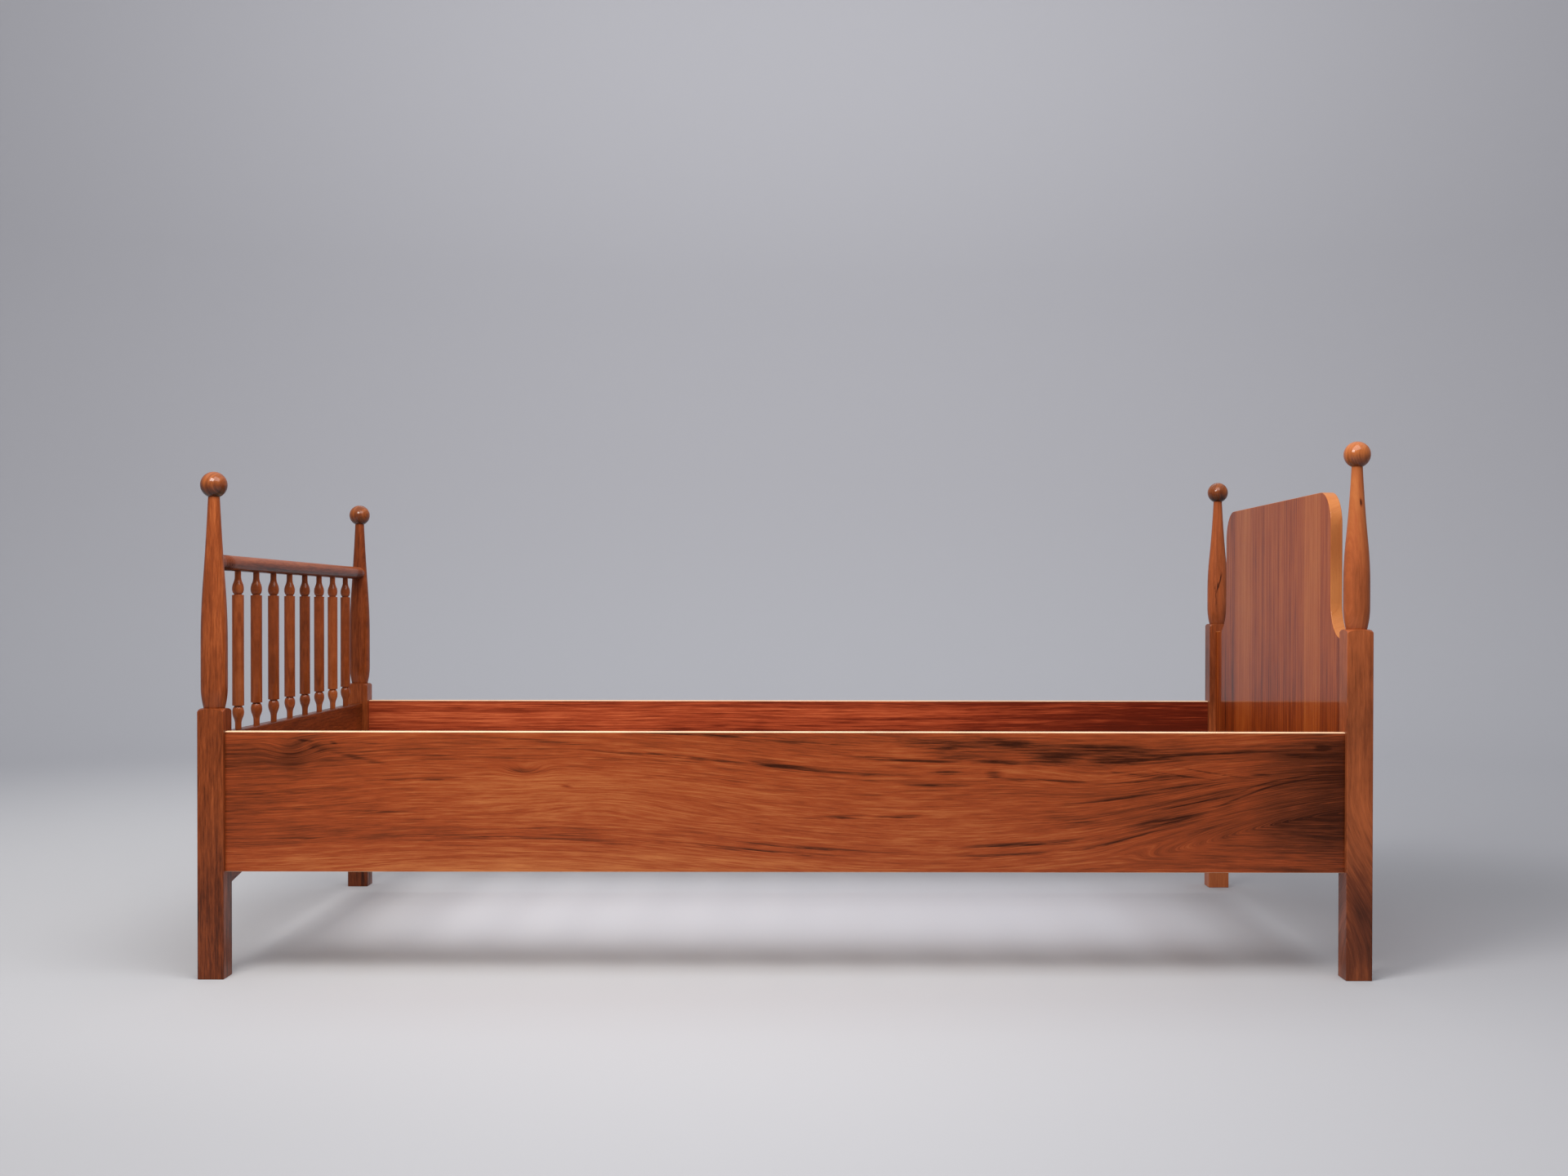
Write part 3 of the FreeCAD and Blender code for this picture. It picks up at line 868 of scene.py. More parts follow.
FRONT_RAIL_FIGURE = Figure(
    eyes=eyes(
        (-874, 402, 70, 36, 0.015), (-461, 369, 60, 20, 0.012), (600, 354, 230, 46, 0.015),
        (780, 364, 200, 34, 0.008), (-300, 315, 260, 50, -0.014),
    ),
    slants=(
        Slant((-0.42, 0.25), -0.040),
        Slant((0.30, 0.70), 0.020, (0.40, 0.30)),
        Slant((0.50, 1.06), 0.110, (0.45, 0.375)),
        Slant((0.62, 0.95), 0.016, (0.36, 0.44)),
        Slant((0.50, 1.06), -0.118, (0.246, 0.216)),
        Slant((-1.00, -0.60), 0.016),
    ),
    marks=marks(
        (-320, 407, -38, 383, 3.7, 0.34), (-81, 390, 78, 370, 6.2, 0.55),
        (42, 373, 209, 363, 3.5, 0.36), (253, 368, 314, 369, 4.6, 0.62),
        (201, 347, 329, 346, 4.2, 0.45), (27, 285, 151, 288, 6, 0.55),
        (122, 286, 274, 291, 3.8, 0.36), (-320, 251, 187, 215, 3.5, 0.36),
        (-103, 247, 209, 225, 3.5, 0.36), (-560, 433, -313, 412, 3.5, 0.28),
        (-306, 436, 49, 428, 4.6, 0.34), (-125, 427, 150, 417, 3.8, 0.3),
        (71, 402, 368, 384, 4.9, 0.4), (172, 427, 382, 408, 15.5, 0.44),
        (259, 400, 382, 391, 10.1, 0.4), (310, 429, 505, 406, 13.7, 0.5),
        (426, 388, 549, 403, 17.4, 0.44), (310, 391, 427, 385, 6.6, 0.45),
        (476, 413, 679, 406, 11.9, 0.44), (527, 391, 694, 391, 13.7, 0.42),
        (621, 396, 708, 397, 10.6, 0.46), (650, 399, 925, 408, 5.5, 0.45),
        (355, 365, 390, 363, 11.9, 0.45), (361, 358, 566, 353, 3.8, 0.45),
        (595, 364, 708, 362, 8.2, 0.45), (491, 311, 677, 339, 5.8, 0.42),
        (459, 284, 567, 282, 18.3, 0.26), (596, 269, 749, 297, 9.5, 0.38),
        (303, 236, 557, 252, 5.8, 0.5), (303, 220, 506, 229, 4, 0.42),
        (470, 224, 680, 271, 4, 0.44), (625, 262, 793, 306, 4.6, 0.6),
        (749, 299, 1005, 366, 4.6, 0.6), (625, 294, 832, 338, 3.7, 0.44),
        (788, 325, 1005, 373, 3.7, 0.44), (824, 365, 865, 364, 7.3, 0.5),
        (629, 374, 772, 355, 3.8, 0.38), (772, 352, 629, 333, 3.8, 0.38),
        (560, 373, 700, 359, 2.8, 0.4), (700, 358, 560, 347, 2.8, 0.4),
        (680, 381, 830, 358, 2.8, 0.4), (830, 356, 680, 326, 2.8, 0.4),
        (938, 412, 970, 412, 7.7, 0.6), (853, 397, 1005, 398, 11.9, 0.4),
        (-851, 417, -808, 407, 11, 0.24), (-825, 411, -692, 377, 6.3, 0.28),
        (-809, 421, -793, 418, 3.7, 0.34), (-871, 426, -831, 421, 3.7, 0.28),
        (-777, 350, -538, 355, 5.5, 0.32), (-915, 250, -805, 252, 3, 0.3),
        (-770, 256, -313, 245, 3.7, 0.3), (-821, 297, -632, 295, 2.9, 0.28),
        (-400, 341, -376, 338, 3.7, 0.5), (-502, 370, -422, 370, 10.1, 0.24),
        (-676, 388, -599, 391, 2.9, 0.3),
    ),
    clouds=clouds(
        (1030, 400, 300, 90, 0.36), (1040, 305, 300, 160, 0.52), (880, 230, 440, 90, 0.16),
        (560, 405, 440, 42, 0.24), (720, 310, 380, 110, 0.16), (-875, 395, 40, 50, 0.16),
        (-865, 395, 200, 80, 0.2), (-1000, 330, 180, 200, 0.16), (-800, 290, 320, 90, 0.13),
        (-450, 195, 800, 60, -0.26), (-380, 320, 560, 100, -0.08), (100, 430, 600, 35, 0.12),
    ),
)
BACK_RAIL_FIGURE = Figure(
    clouds=clouds((900, 400, 800, 300, 0.44), (-700, 400, 500, 300, -0.08)),
)
PANEL_LEAVES = Figure(
    leaves=(
        Leaf(-0.600, 0.10), Leaf(-0.430, 0.04), Leaf(-0.326, -0.20), Leaf(-0.222, 0.02),
        Leaf(-0.082, -0.02), Leaf(-0.016, 0.05), Leaf(0.027, 0.01), Leaf(0.176, -0.20),
        Leaf(0.300, 0.06), Leaf(0.420, 0.02),
    ),
    # Painted shade: the lower part of the panel, down inside the frame, is darker.
    clouds=clouds((220, 0, 500, 2400, 0.34)),
)
NEAR_HEAD_POST_FIGURE = Figure(
    slants=(Slant((0.02, 0.34), 0.10),),
    marks=marks((838, 1021.5, 856, 1020.5, 3, 0.7)),
    clouds=clouds(
        (50, 1017, 340, 300, 0.4), (440, 1017, 240, 300, 0.16), (700, 1010, 120, 300, 0.06),
        (860, 1017, 160, 300, -0.16),
    ),
)
FAR_HEAD_POST_FIGURE = Figure(
    marks=marks((690, 1006, 745, 1022, 3, 0.6), (650, 1008, 720, 1004, 3, 0.4)),
    clouds=clouds(
        (800, 1022, 220, 300, -0.05), (500, 1017, 200, 300, 0.22), (20, 1017, 200, 300, -0.19),
    ),
)
NEAR_FOOT_POST_FIGURE = Figure(
    clouds=clouds(
        (100, -1017, 300, 300, 0.22), (420, -1017, 120, 300, 0.12), (860, -1017, 200, 300, -0.22),
        # The last two clouds are painted light: a painted highlight on the vase's right side and
        # painted shade on its left side.
        (660, -995, 240, 24, -0.16), (620, -1040, 220, 20, 0.1),
    ),
)
FAR_FOOT_POST_FIGURE = Figure(
    clouds=clouds(
        # The third cloud here is a painted highlight on the vase's right side; the next, below, is
        # painted shade on its left.
        (0, -1017, 300, 300, 0.12), (440, -1017, 100, 300, -0.16), (640, -995, 220, 24, -0.06),
        (620, -1030, 240, 30, 0.08),
    ),
)


@dataclass
class Solid:
    """A mesh being built with bmesh operators, and the piece that it becomes."""

    name: str
    mesh: bmesh.types.BMesh = field(default_factory=bmesh.new)

    SHARP_ANGLE = math.radians(14)

    @classmethod
    def copy_of(cls, node: str) -> "Solid":
        """A node's shape, merged, to cut with.

        Args:
            node: the node's name.

        Returns:
            The copy as a solid.
        """
        solid = cls(node)
        solid.mesh.from_mesh(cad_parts[node].data)
        solid._merge()
        return solid

    @classmethod
    def block(cls, name: str, low: Vector, high: Vector) -> "Solid":
        """A block between two corners.

        Args:
            name: the solid's name.
            low, high: its corners.

        Returns:
            The block.
        """
        solid = cls(name)
        place = Matrix.Translation((high + low) / 2) @ Matrix.Diagonal((*(high - low), 1.0))
        bmesh.ops.create_cube(solid.mesh, size=1.0, matrix=place)
        return solid

    @classmethod
    def turned(cls, name: str, outline: list[Point], steps: int = 72) -> "Solid":
        """A solid turned about the Z axis.

        Args:
            name: the piece's name.
            outline: radius and height of each point of half the section, from axis to axis.
            steps: how many facets go round.

        Returns:
            The turned solid.
        """
        solid = cls(name)
        points = [solid.mesh.verts.new((radius, 0.0, height)) for radius, height in outline]
        edges = [solid.mesh.edges.new(pair) for pair in zip(points, points[1:])]
        bmesh.ops.spin(solid.mesh, geom=points + edges, cent=(0, 0, 0), axis=(0, 0, 1),
                       angle=FULL_TURN, steps=steps, use_merge=True, use_duplicate=False)
        solid._merge()
        bmesh.ops.dissolve_degenerate(solid.mesh, edges=solid.mesh.edges, dist=MERGE_DISTANCE)
        bmesh.ops.recalc_face_normals(solid.mesh, faces=solid.mesh.faces)
        return solid

    @classmethod
    def rod(cls, name: str, radius: float, low: float, high: float, steps: int) -> "Solid":
        """A plain round rod on the Z axis, between two heights."""
        return cls.turned(name, [(0.0, low), (radius, low), (radius, high), (0.0, high)], steps)

    def _merge(self) -> None:
        """Merge points that lie on each other."""
        bmesh.ops.remove_doubles(self.mesh, verts=self.mesh.verts, dist=MERGE_DISTANCE)

    def ease(
        self, chosen: Callable[[bmesh.types.BMEdge], bool], radius: float, segments: int
    ) -> None:
        """Round some edges.

        Args:
            chosen: the test that an edge passes to be rounded.
            radius: the rounding's radius.
            segments: how many faces it has.
        """
        edges = [edge for edge in self.mesh.edges if chosen(edge)]
        bmesh.ops.bevel(self.mesh, geom=edges, offset=radius, offset_type="OFFSET",
                        affect="EDGES", segments=segments, profile=0.5, material=-1)

    def moved(self, matrix: Matrix) -> "Solid":
        """The same solid in another place."""
        bmesh.ops.transform(self.mesh, matrix=matrix, verts=self.mesh.verts)
        return self

    def shifted(self, x: float, y: float, z: float = 0.0) -> "Solid":
        """The same solid, shifted along the axes."""
        return self.moved(Matrix.Translation((x, y, z)))

    def joined(self, others: Iterable["Solid"]) -> "Solid":
        """Take in other solids as they are, without joining their surfaces.

        Args:
            others: the other solids, which stay as they are.

        Returns:
            This solid, changed.
        """
        for other in others:
            holder = bpy.data.meshes.new("holder")
            other.mesh.to_mesh(holder)
            self.mesh.from_mesh(holder)
            bpy.data.meshes.remove(holder)
        return self

    def combined(self, how: Combine, other: "Solid") -> "Solid":
        """Cut, join or overlap with another solid.

        Args:
            how: what the other solid does.
            other: the other solid, which is used up.

        Returns:
            This solid, changed.
        """
        target = self.to_object()
        tool = other.to_object()
        modifier = target.modifiers.new("combine", "BOOLEAN")
        modifier.operation = how.value
        modifier.solver = "EXACT"
        modifier.object = tool
        depsgraph = bpy.context.evaluated_depsgraph_get()
        result = bpy.data.meshes.new_from_object(target.evaluated_get(depsgraph))
        self.mesh = bmesh.new()
        self.mesh.from_mesh(result)
        self._merge()
        for data in (target.data, tool.data, result):
            bpy.data.meshes.remove(data)
        return self

    def to_object(self) -> bpy.types.Object:
        """The mesh as an object of the scene; the solid is used up.

        Returns:
            The object.
        """
        data = bpy.data.meshes.new(self.name)
        self.mesh.to_mesh(data)
        self.mesh.free()
        made = bpy.data.objects.new(self.name, data)
        bpy.context.scene.collection.objects.link(made)
        return made

    def piece(self, node: str, slot: Slot, material: bpy.types.Material) -> bpy.types.Object:
        """Finish the mesh as a piece that stands for a node.

        Args:
            node: the node that it replaces.
            slot: the record's material slot; not used.
            material: the finish.

        Returns:
            The finished piece.
        """
        made = self.to_object()
        made.data.shade_smooth()
        made.data.set_sharp_from_angle(angle=self.SHARP_ANGLE)
        made.data.materials.append(material)
        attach(made, BODY)
        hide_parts(node)
        return made


def dress(node: str, material: bpy.types.Material) -> bpy.types.Object:
    """Give a construction node its finish.

    Args:
        node: the node's name.
        material: the finish.

    Returns:
        The node's object.
    """
    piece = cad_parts[node]
    piece.data.materials.clear()
    piece.data.materials.append(material)
    return piece


def flowing_arcs(
    start: Point, heading: Point, finishes: list[Point], steps: int = 14
) -> list[Point]:
    """Points along arcs, each leaving along the last one's final direction.

    Args:
        start: where the first arc starts; it isn't repeated in the result.
        heading: the direction in which the first arc leaves.
        finishes: where each arc ends.
        steps: points on each arc.

    Returns:
        The points after the start.
    """
    points = []
    here = Vector(start)
    direction = Vector(heading).normalized()
    for finish in finishes:
        chord = Vector(finish) - here
        turn = 2 * direction.angle_signed(chord)
        left = Vector((direction.y, -direction.x))
        for index in range(1, steps + 1):
            part = turn * index / steps
            if abs(turn) < STRAIGHT_TURN:
                step = chord * index / steps
            else:
                radius = chord.length / (2 * math.sin(turn / 2))
                step = direction * (radius * math.sin(part))
                step += left * (radius * (1 - math.cos(part)))
            points.append(tuple(here + step))
        direction = Matrix.Rotation(-turn, 2) @ direction
        here = Vector(finish)
    return points


def islands(mesh: bmesh.types.BMesh) -> list[list[bmesh.types.BMVert]]:
    """The separate parts of a mesh.

    Args:
        mesh: the mesh.

    Returns:
        Each part as its vertices.
    """
    seen = set()
    parts = []
    for start in mesh.verts:
        if start in seen:
            continue
        seen.add(start)
        part = [start]
        for vertex in part:
            others = {edge.other_vert(vertex) for edge in vertex.link_edges} - seen
            seen |= others
            part.extend(others)
        parts.append(part)
    return parts


def boxes_meet(first: str, second: str) -> bool:
    """True if the boxes of two nodes overlap."""
    (low, high), (other_low, other_high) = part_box(first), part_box(second)
    return all(low[i] < other_high[i] and high[i] > other_low[i] for i in range(3))


@dataclass
class Vase:
    """The turned part of a post, on its own axis.

    Attributes:
        shoulder: the height at which it stands on the square leg.
        belly_rise, waist_rise, turned_length: rises above the shoulder.
        waist_diameter, neck_diameter: its diameters there.
    """

    shoulder: float
    belly_rise: float
    waist_rise: float
    turned_length: float
    waist_diameter: float
    neck_diameter: float
    base_diameter: float = mm(36.5)
    belly_diameter: float = mm(46.3)
    base_rise: float = mm(40)
    spigot_diameter: float = mm(10)
    spigot_length: float = mm(22)
    root: float = mm(3)

    @property
    def neck(self) -> float:
        """The height of the neck under the ball."""
        return self.shoulder + self.turned_length

    def side(self, extra: float) -> list[Point]:
        """The curved outline from the base up to the neck.

        Args:
            extra: how much it is grown on the radius.

        Returns:
            The outline.
        """
        belly = self.belly_diameter / 2 + extra
        base = (self.base_diameter / 2 + extra, self.shoulder)
        belly_low = (belly, self.shoulder + self.base_rise)
        belly_high = (belly, self.shoulder + self.belly_rise)
        waist = (self.waist_diameter / 2 + extra, self.shoulder + self.waist_rise)
        neck = (self.neck_diameter / 2 + extra, self.neck)
        falling = [belly_low] + flowing_arcs(belly_low, (0, -1), [base])
        rising = [belly_high] + flowing_arcs(belly_high, (0, 1), [waist, neck])
        return falling[::-1] + rising

    def solid(self, name: str, extra: float = 0.0) -> Solid:
        """The turned part, with a root in the leg and a spigot for the ball.

        Args:
            name: the solid's name.
            extra: how much the outline is grown on the radius.

        Returns:
            The solid.
        """
        spigot = self.spigot_diameter / 2
        top = self.neck + self.spigot_length
        side = self.side(extra)
        foot = self.shoulder - self.root
        outline = [(0.0, foot), (side[0][0], foot), *side]
        return Solid.turned(name, outline + [(spigot, self.neck), (spigot, top), (0.0, top)])


FOOT_VASE = Vase(
    shoulder=mm(480), belly_rise=mm(110), waist_rise=mm(225), turned_length=mm(376),
    waist_diameter=mm(38), neck_diameter=mm(20.2),
)
HEAD_VASE = Vase(
    shoulder=mm(622.5), belly_rise=mm(78), waist_rise=mm(155), turned_length=mm(289),
    waist_diameter=mm(38.8), neck_diameter=mm(19.4),
)

PLATES = tuple(
    f"{kind}_plate_{end.value}_{side.word}"
    for kind in ("receiver", "hook") for end in End for side in Side
)
POST_NEIGHBOURS = ("foot_rail", "foot_rod", "head_panel", *PLATES)


@dataclass(frozen=True)
class Corner:
    """What tells one corner of the bed from the next.

    Attributes:
        end, side: where it is.
        vase: the post's turned part.
        finish: the post's wood.
        seed: the shift of the post's pattern.
        tone, ball_tone: how deep the post and the ball are.
        figure: the post's own figure.
    """

    end: End
    side: Side
    vase: Vase
    finish: WoodFinish
    seed: float
    tone: float
    ball_tone: float
    figure: Figure

    @property
    def post(self) -> str:
        """The node of the post."""
        return f"{self.end.value}_post_{self.side.word}"

    @property
    def ball(self) -> str:
        """The node of the ball."""
        return f"ball_finial_{self.end.value}_{self.side.word}"


CORNERS = (
    Corner(End.FOOT, Side.FRONT, FOOT_VASE, MAHOGANY, 3.7, 0.04, 0.15, NEAR_FOOT_POST_FIGURE),
    Corner(End.HEAD, Side.FRONT, HEAD_VASE, HONEY_MAHOGANY, 4.5, 0.0, -0.12,
           NEAR_HEAD_POST_FIGURE),
    Corner(End.FOOT, Side.BACK, FOOT_VASE, CALM_MAHOGANY, 5.6, 0.12, 0.11, FAR_FOOT_POST_FIGURE),
    Corner(End.HEAD, Side.BACK, HEAD_VASE, HONEY_MAHOGANY, 6.4, 0.16, 0.16, FAR_HEAD_POST_FIGURE),
)


@dataclass
class Post:
    """One corner post: a square leg with a rounded top, and its turned part."""

    corner: Corner
    side: float = mm(46.5)
    edge_radius: float = mm(1.5)
    edge_segments: int = 4
    foot_chamfer: float = mm(1.2)
    foot_segments: int = 2
    shoulder_round: float = mm(19)
    shoulder_steps: int = 20
    envelope_steps: int = 96
    overrun: float = mm(5)
    pith: Point = (0.11, 0.06)

    def leg(self) -> Solid:
        """The square leg on the Z axis, with eased edges and a turned top.

        Returns:
            The leg.
        """
        half = self.side / 2
        shoulder = self.corner.vase.shoulder
        low, high = Vector((-half, -half, 0)), Vector((half, half, shoulder))
        leg = Solid.block(self.corner.post, low, high)
        leg.ease(lambda edge: abs(edge.verts[0].co.z - edge.verts[1].co.z) > shoulder / 2,
                 self.edge_radius, self.edge_segments)
        leg.ease(lambda edge: max(vertex.co.z for vertex in edge.verts) < self.foot_chamfer,
                 self.foot_chamfer, self.foot_segments)
        return leg.combined(Combine.OVERLAP, self._top_envelope())

    def _top_envelope(self) -> Solid:
        """The turned shape that rounds the top of the leg.

        Returns:
            The shape.
        """
        shoulder = self.corner.vase.shoulder
        start = (self.corner.vase.base_diameter / 2, shoulder)
        rim = (start[0] + self.shoulder_round, shoulder - self.shoulder_round)
        outline = [(0.0, shoulder), start]
        outline += flowing_arcs(start, (1, 0), [rim], self.shoulder_steps)
        outline += [(rim[0], -self.overrun), (0.0, -self.overrun)]
        return Solid.turned("top_envelope", outline, self.envelope_steps)

    def build(self) -> bpy.types.Object:
        """Build, cut, dress and place the post.

        Returns:
            The finished piece.
        """
        corner = self.corner
        middle = box_of(corner.post)[1]
        body = self.leg().combined(Combine.JOIN, corner.vase.solid("vase"))
        body.shifted(middle.x, middle.y)
        for node in POST_NEIGHBOURS:
            if boxes_meet(corner.post, node):
                body = body.combined(Combine.CUT, Solid.copy_of(node))
        body.name = f"{corner.post}_turned"
        pith = (middle.x + self.pith[0], middle.y + corner.side.inward * self.pith[1])
        grain = Grain(Cut.POST, corner.seed, pith, corner.tone)
        material = corner.finish.material(body.name, grain, corner.figure)
        return body.piece(corner.post, Slot.POST, material)


@dataclass
class Ball:
    """A ball finial with a flat seat and a bore for its spigot."""

    corner: Corner
    diameter: float = mm(47)
    bore_diameter: float = mm(10.4)
    bore_spare: float = mm(0.2)
    arc_steps: int = 40
    seed_step: float = 5.3
    pith: Point = (-mm(30), mm(12))
    # Painted shade on the lower half of the ball, towards its seat.
    painted_seat_shade: float = 0.44
    painted_seat_shade_reach: Point = (1.5, 4.0)

    def outline(self, centre: float) -> list[Point]:
        """Half the section, with the ball's centre at a height.

        Args:
            centre: the height of the centre.

        Returns:
            The outline, from the bore's top round to the ball's top.
        """
        vase = self.corner.vase
        radius = self.diameter / 2
        bore = self.bore_diameter / 2
        bore_top = vase.neck + vase.spigot_length + self.bore_spare
        seat_angle = math.acos((vase.neck - centre) / radius)
        outline = [(0.0, bore_top), (bore, bore_top), (bore, vase.neck)]
        for step in range(self.arc_steps + 1):
            turn = seat_angle * (1 - step / self.arc_steps)
            outline.append((radius * math.sin(turn), centre + radius * math.cos(turn)))
        return outline

    def build(self) -> bpy.types.Object:
        """Build, dress and place the ball, with painted shade on its lower half towards its seat.

        Returns:
            The finished piece.
        """
        corner = self.corner
        _, middle, high = box_of(corner.ball)
        radius = self.diameter / 2
        centre = high.z - radius
        name = f"{corner.end.value}_ball_{corner.side.word}_turned"
        ball = Solid.turned(name, self.outline(centre)).shifted(middle.x, middle.y)
        reach = (radius * self.painted_seat_shade_reach[0], radius * self.painted_seat_shade_reach[1])
        # Painted shade: a soft cloud darkens the ball towards its bottom.
        figure = Figure(clouds=(Cloud((centre - radius, middle.x), reach, self.painted_seat_shade),))
        post = box_of(corner.post)[1]
        pith = (post.x + self.pith[0], post.y + self.pith[1])
        grain = Grain(Cut.POST, corner.seed + self.seed_step, pith, corner.ball_tone)
        return ball.piece(corner.ball, Slot.BALL, BALL_WOOD.material(name, grain, figure))


@dataclass
class CornerPosts:
    """The four corner posts and their balls."""

    corners: tuple[Corner, ...] = CORNERS

    def build(self) -> list[bpy.types.Object]:
        """Build each post and its ball."""
        return [part(corner).build() for corner in self.corners for part in (Post, Ball)]


@dataclass
class RoundRail:
    """The round rail at the foot end, with its turned rings, scribed ends and tenons."""

    node: str = "foot_rod"
    diameter: float = mm(28.5)
    height: float = mm(740)
    tenon_diameter: float = mm(16)
    tenon_stop: float = mm(6)
    ring_count: int = 5
    ring_first: float = mm(30)
    ring_pitch: float = mm(9.4)
    ring_depth: float = mm(0.8)
    ring_width: float = mm(2.2)
    ring_steps: int = 6
    # The rings' dark lines are painted shade in the grooves.
    ring_groove_shade_share: float = 0.6
    ring_groove_shade_depth: float = 0.60
    scribe_gap: float = mm(0.3)
    bore_diameter: float = mm(12)
    bore_depth: float = mm(14)
    segment_count: int = 24
    seed: float = 7.1
    pith: Point = (mm(800), mm(20))
    tone: float = 0.08
    # Painted shade at each end next to the posts, where the lacquer is also made duller.
    shaded_end_inset: float = mm(46)
    shaded_end_reach: Point = (mm(44), mm(90))
    end_coat_dulling: float = 0.9
    painted_end_shade: float = 0.10
    # A painted highlight along the top and painted shade along the underside.
    tone_offset: float = mm(2)
    painted_top_highlight_reach: Point = (3.0, mm(26))
    painted_top_highlight: float = -0.30
    painted_underside_shade_reach: Point = (3.0, mm(24))
    painted_underside_shade: float = 0.36

    def outline(self, half_length: float) -> list[Point]:
        """Half the section, with a shallow round groove for each ring.

        Args:
            half_length: half the rail's length.

        Returns:
            The outline, from end to end.
        """
        radius = self.diameter / 2
        near = [(0.0, -half_length), (radius, -half_length)]
        for index in range(self.ring_count):
            middle = -half_length + self.ring_first + self.ring_pitch * index
            for step in range(self.ring_steps + 1):
                turn = math.pi * step / self.ring_steps
                near.append((radius - self.ring_depth * math.sin(turn),
                             middle - self.ring_width / 2 * math.cos(turn)))
        return near + [(r, -z) for r, z in reversed(near)]

    def solid(self, post: Vector, bores: list[float]) -> Solid:
        """The rail between two posts, bored for the spindles.

        Args:
            post: the axis of the back foot post.
            bores: the Y places of the spindles.

        Returns:
            The rail in place.
        """
        lie = Matrix.Translation((post.x, 0.0, self.height)) @ Matrix.Rotation(-math.pi / 2, 4, "X")
        rail = Solid.turned(f"{self.node}_turned", self.outline(post.y)).moved(lie)
        for side in (-1, 1):
            scribe = FOOT_VASE.solid("scribe", self.scribe_gap).shifted(post.x, side * post.y)
            rail = rail.combined(Combine.CUT, scribe)
        self._drop_slips(rail)
        half = post.y - self.tenon_stop
        tenons = Solid.rod("tenons", self.tenon_diameter / 2, -half, half, self.segment_count)
        rail = rail.combined(Combine.JOIN, tenons.moved(lie))
        low = self.height - self.diameter
        high = self.height - self.diameter / 2 + self.bore_depth
        drills = [Solid.rod("drill", self.bore_diameter / 2, low, high, self.segment_count)
                  .shifted(post.x, y) for y in bores]
        return rail.combined(Combine.CUT, drills[0].joined(drills[1:]))

    @staticmethod
    def _drop_slips(solid: Solid) -> None:
        """Drop the slips of wood that the scribing leaves behind the posts' axes.

        Args:
            solid: the scribed rail, of which the largest part is kept.
        """
        parts = islands(solid.mesh)
        keep = max(parts, key=len)
        spare = [vertex for part in parts if part is not keep for vertex in part]
        bmesh.ops.delete(solid.mesh, geom=spare, context="VERTS")

    def figure(self, half_length: float) -> Figure:
        """Painted shade in the grooves, below and at the ends, a painted highlight on top, and
        duller ends.

        Args:
            half_length: half the rail's length.

        Returns:
            The figure.
        """
        low, high = self.height - self.diameter / 2, self.height + self.diameter / 2
        rings = [half_length - self.ring_first - self.ring_pitch * index
                 for index in range(self.ring_count)]
        # Painted shade in each ring groove.
        lines = tuple(
            Mark((side * ring, low), (side * ring, high),
                 self.ring_width * self.ring_groove_shade_share, self.ring_groove_shade_depth)
            for side in (-1, 1) for ring in rings)
        # Painted shade and a duller lacquer at both ends, next to the posts.
        end = half_length - self.shaded_end_inset
        shaded_ends = tuple(Cloud((side * end, self.height), self.shaded_end_reach, self.end_coat_dulling)
                     for side in (-1, 1))
        # A painted highlight on the top and painted shade on the underside.
        top = Cloud((0.0, high + self.tone_offset), self.painted_top_highlight_reach, self.painted_top_highlight)
        under = Cloud((0.0, low - self.tone_offset), self.painted_underside_shade_reach, self.painted_underside_shade)
        deeper = (replace(cloud, depth=self.painted_end_shade) for cloud in shaded_ends)
        return Figure(marks=lines, clouds=(top, under, *deeper), dull=shaded_ends)

    def build(self, post: Vector, bores: list[float]) -> bpy.types.Object:
        """Build, dress and place the rail.

        Args:
            post: the axis of the back foot post.
            bores: the Y places of the spindles.

        Returns:
            The finished piece.
        """
        rail = self.solid(post, bores)
        rail.name = f"{self.node}_turned"
        grain = Grain(Cut.CROSS_RAIL, self.seed, (self.pith[0], post.x + self.pith[1]), self.tone)
        material = ROUND_RAIL_WOOD.material(self.node, grain, self.figure(post.y))
        return rail.piece(self.node, Slot.TURNED, material)


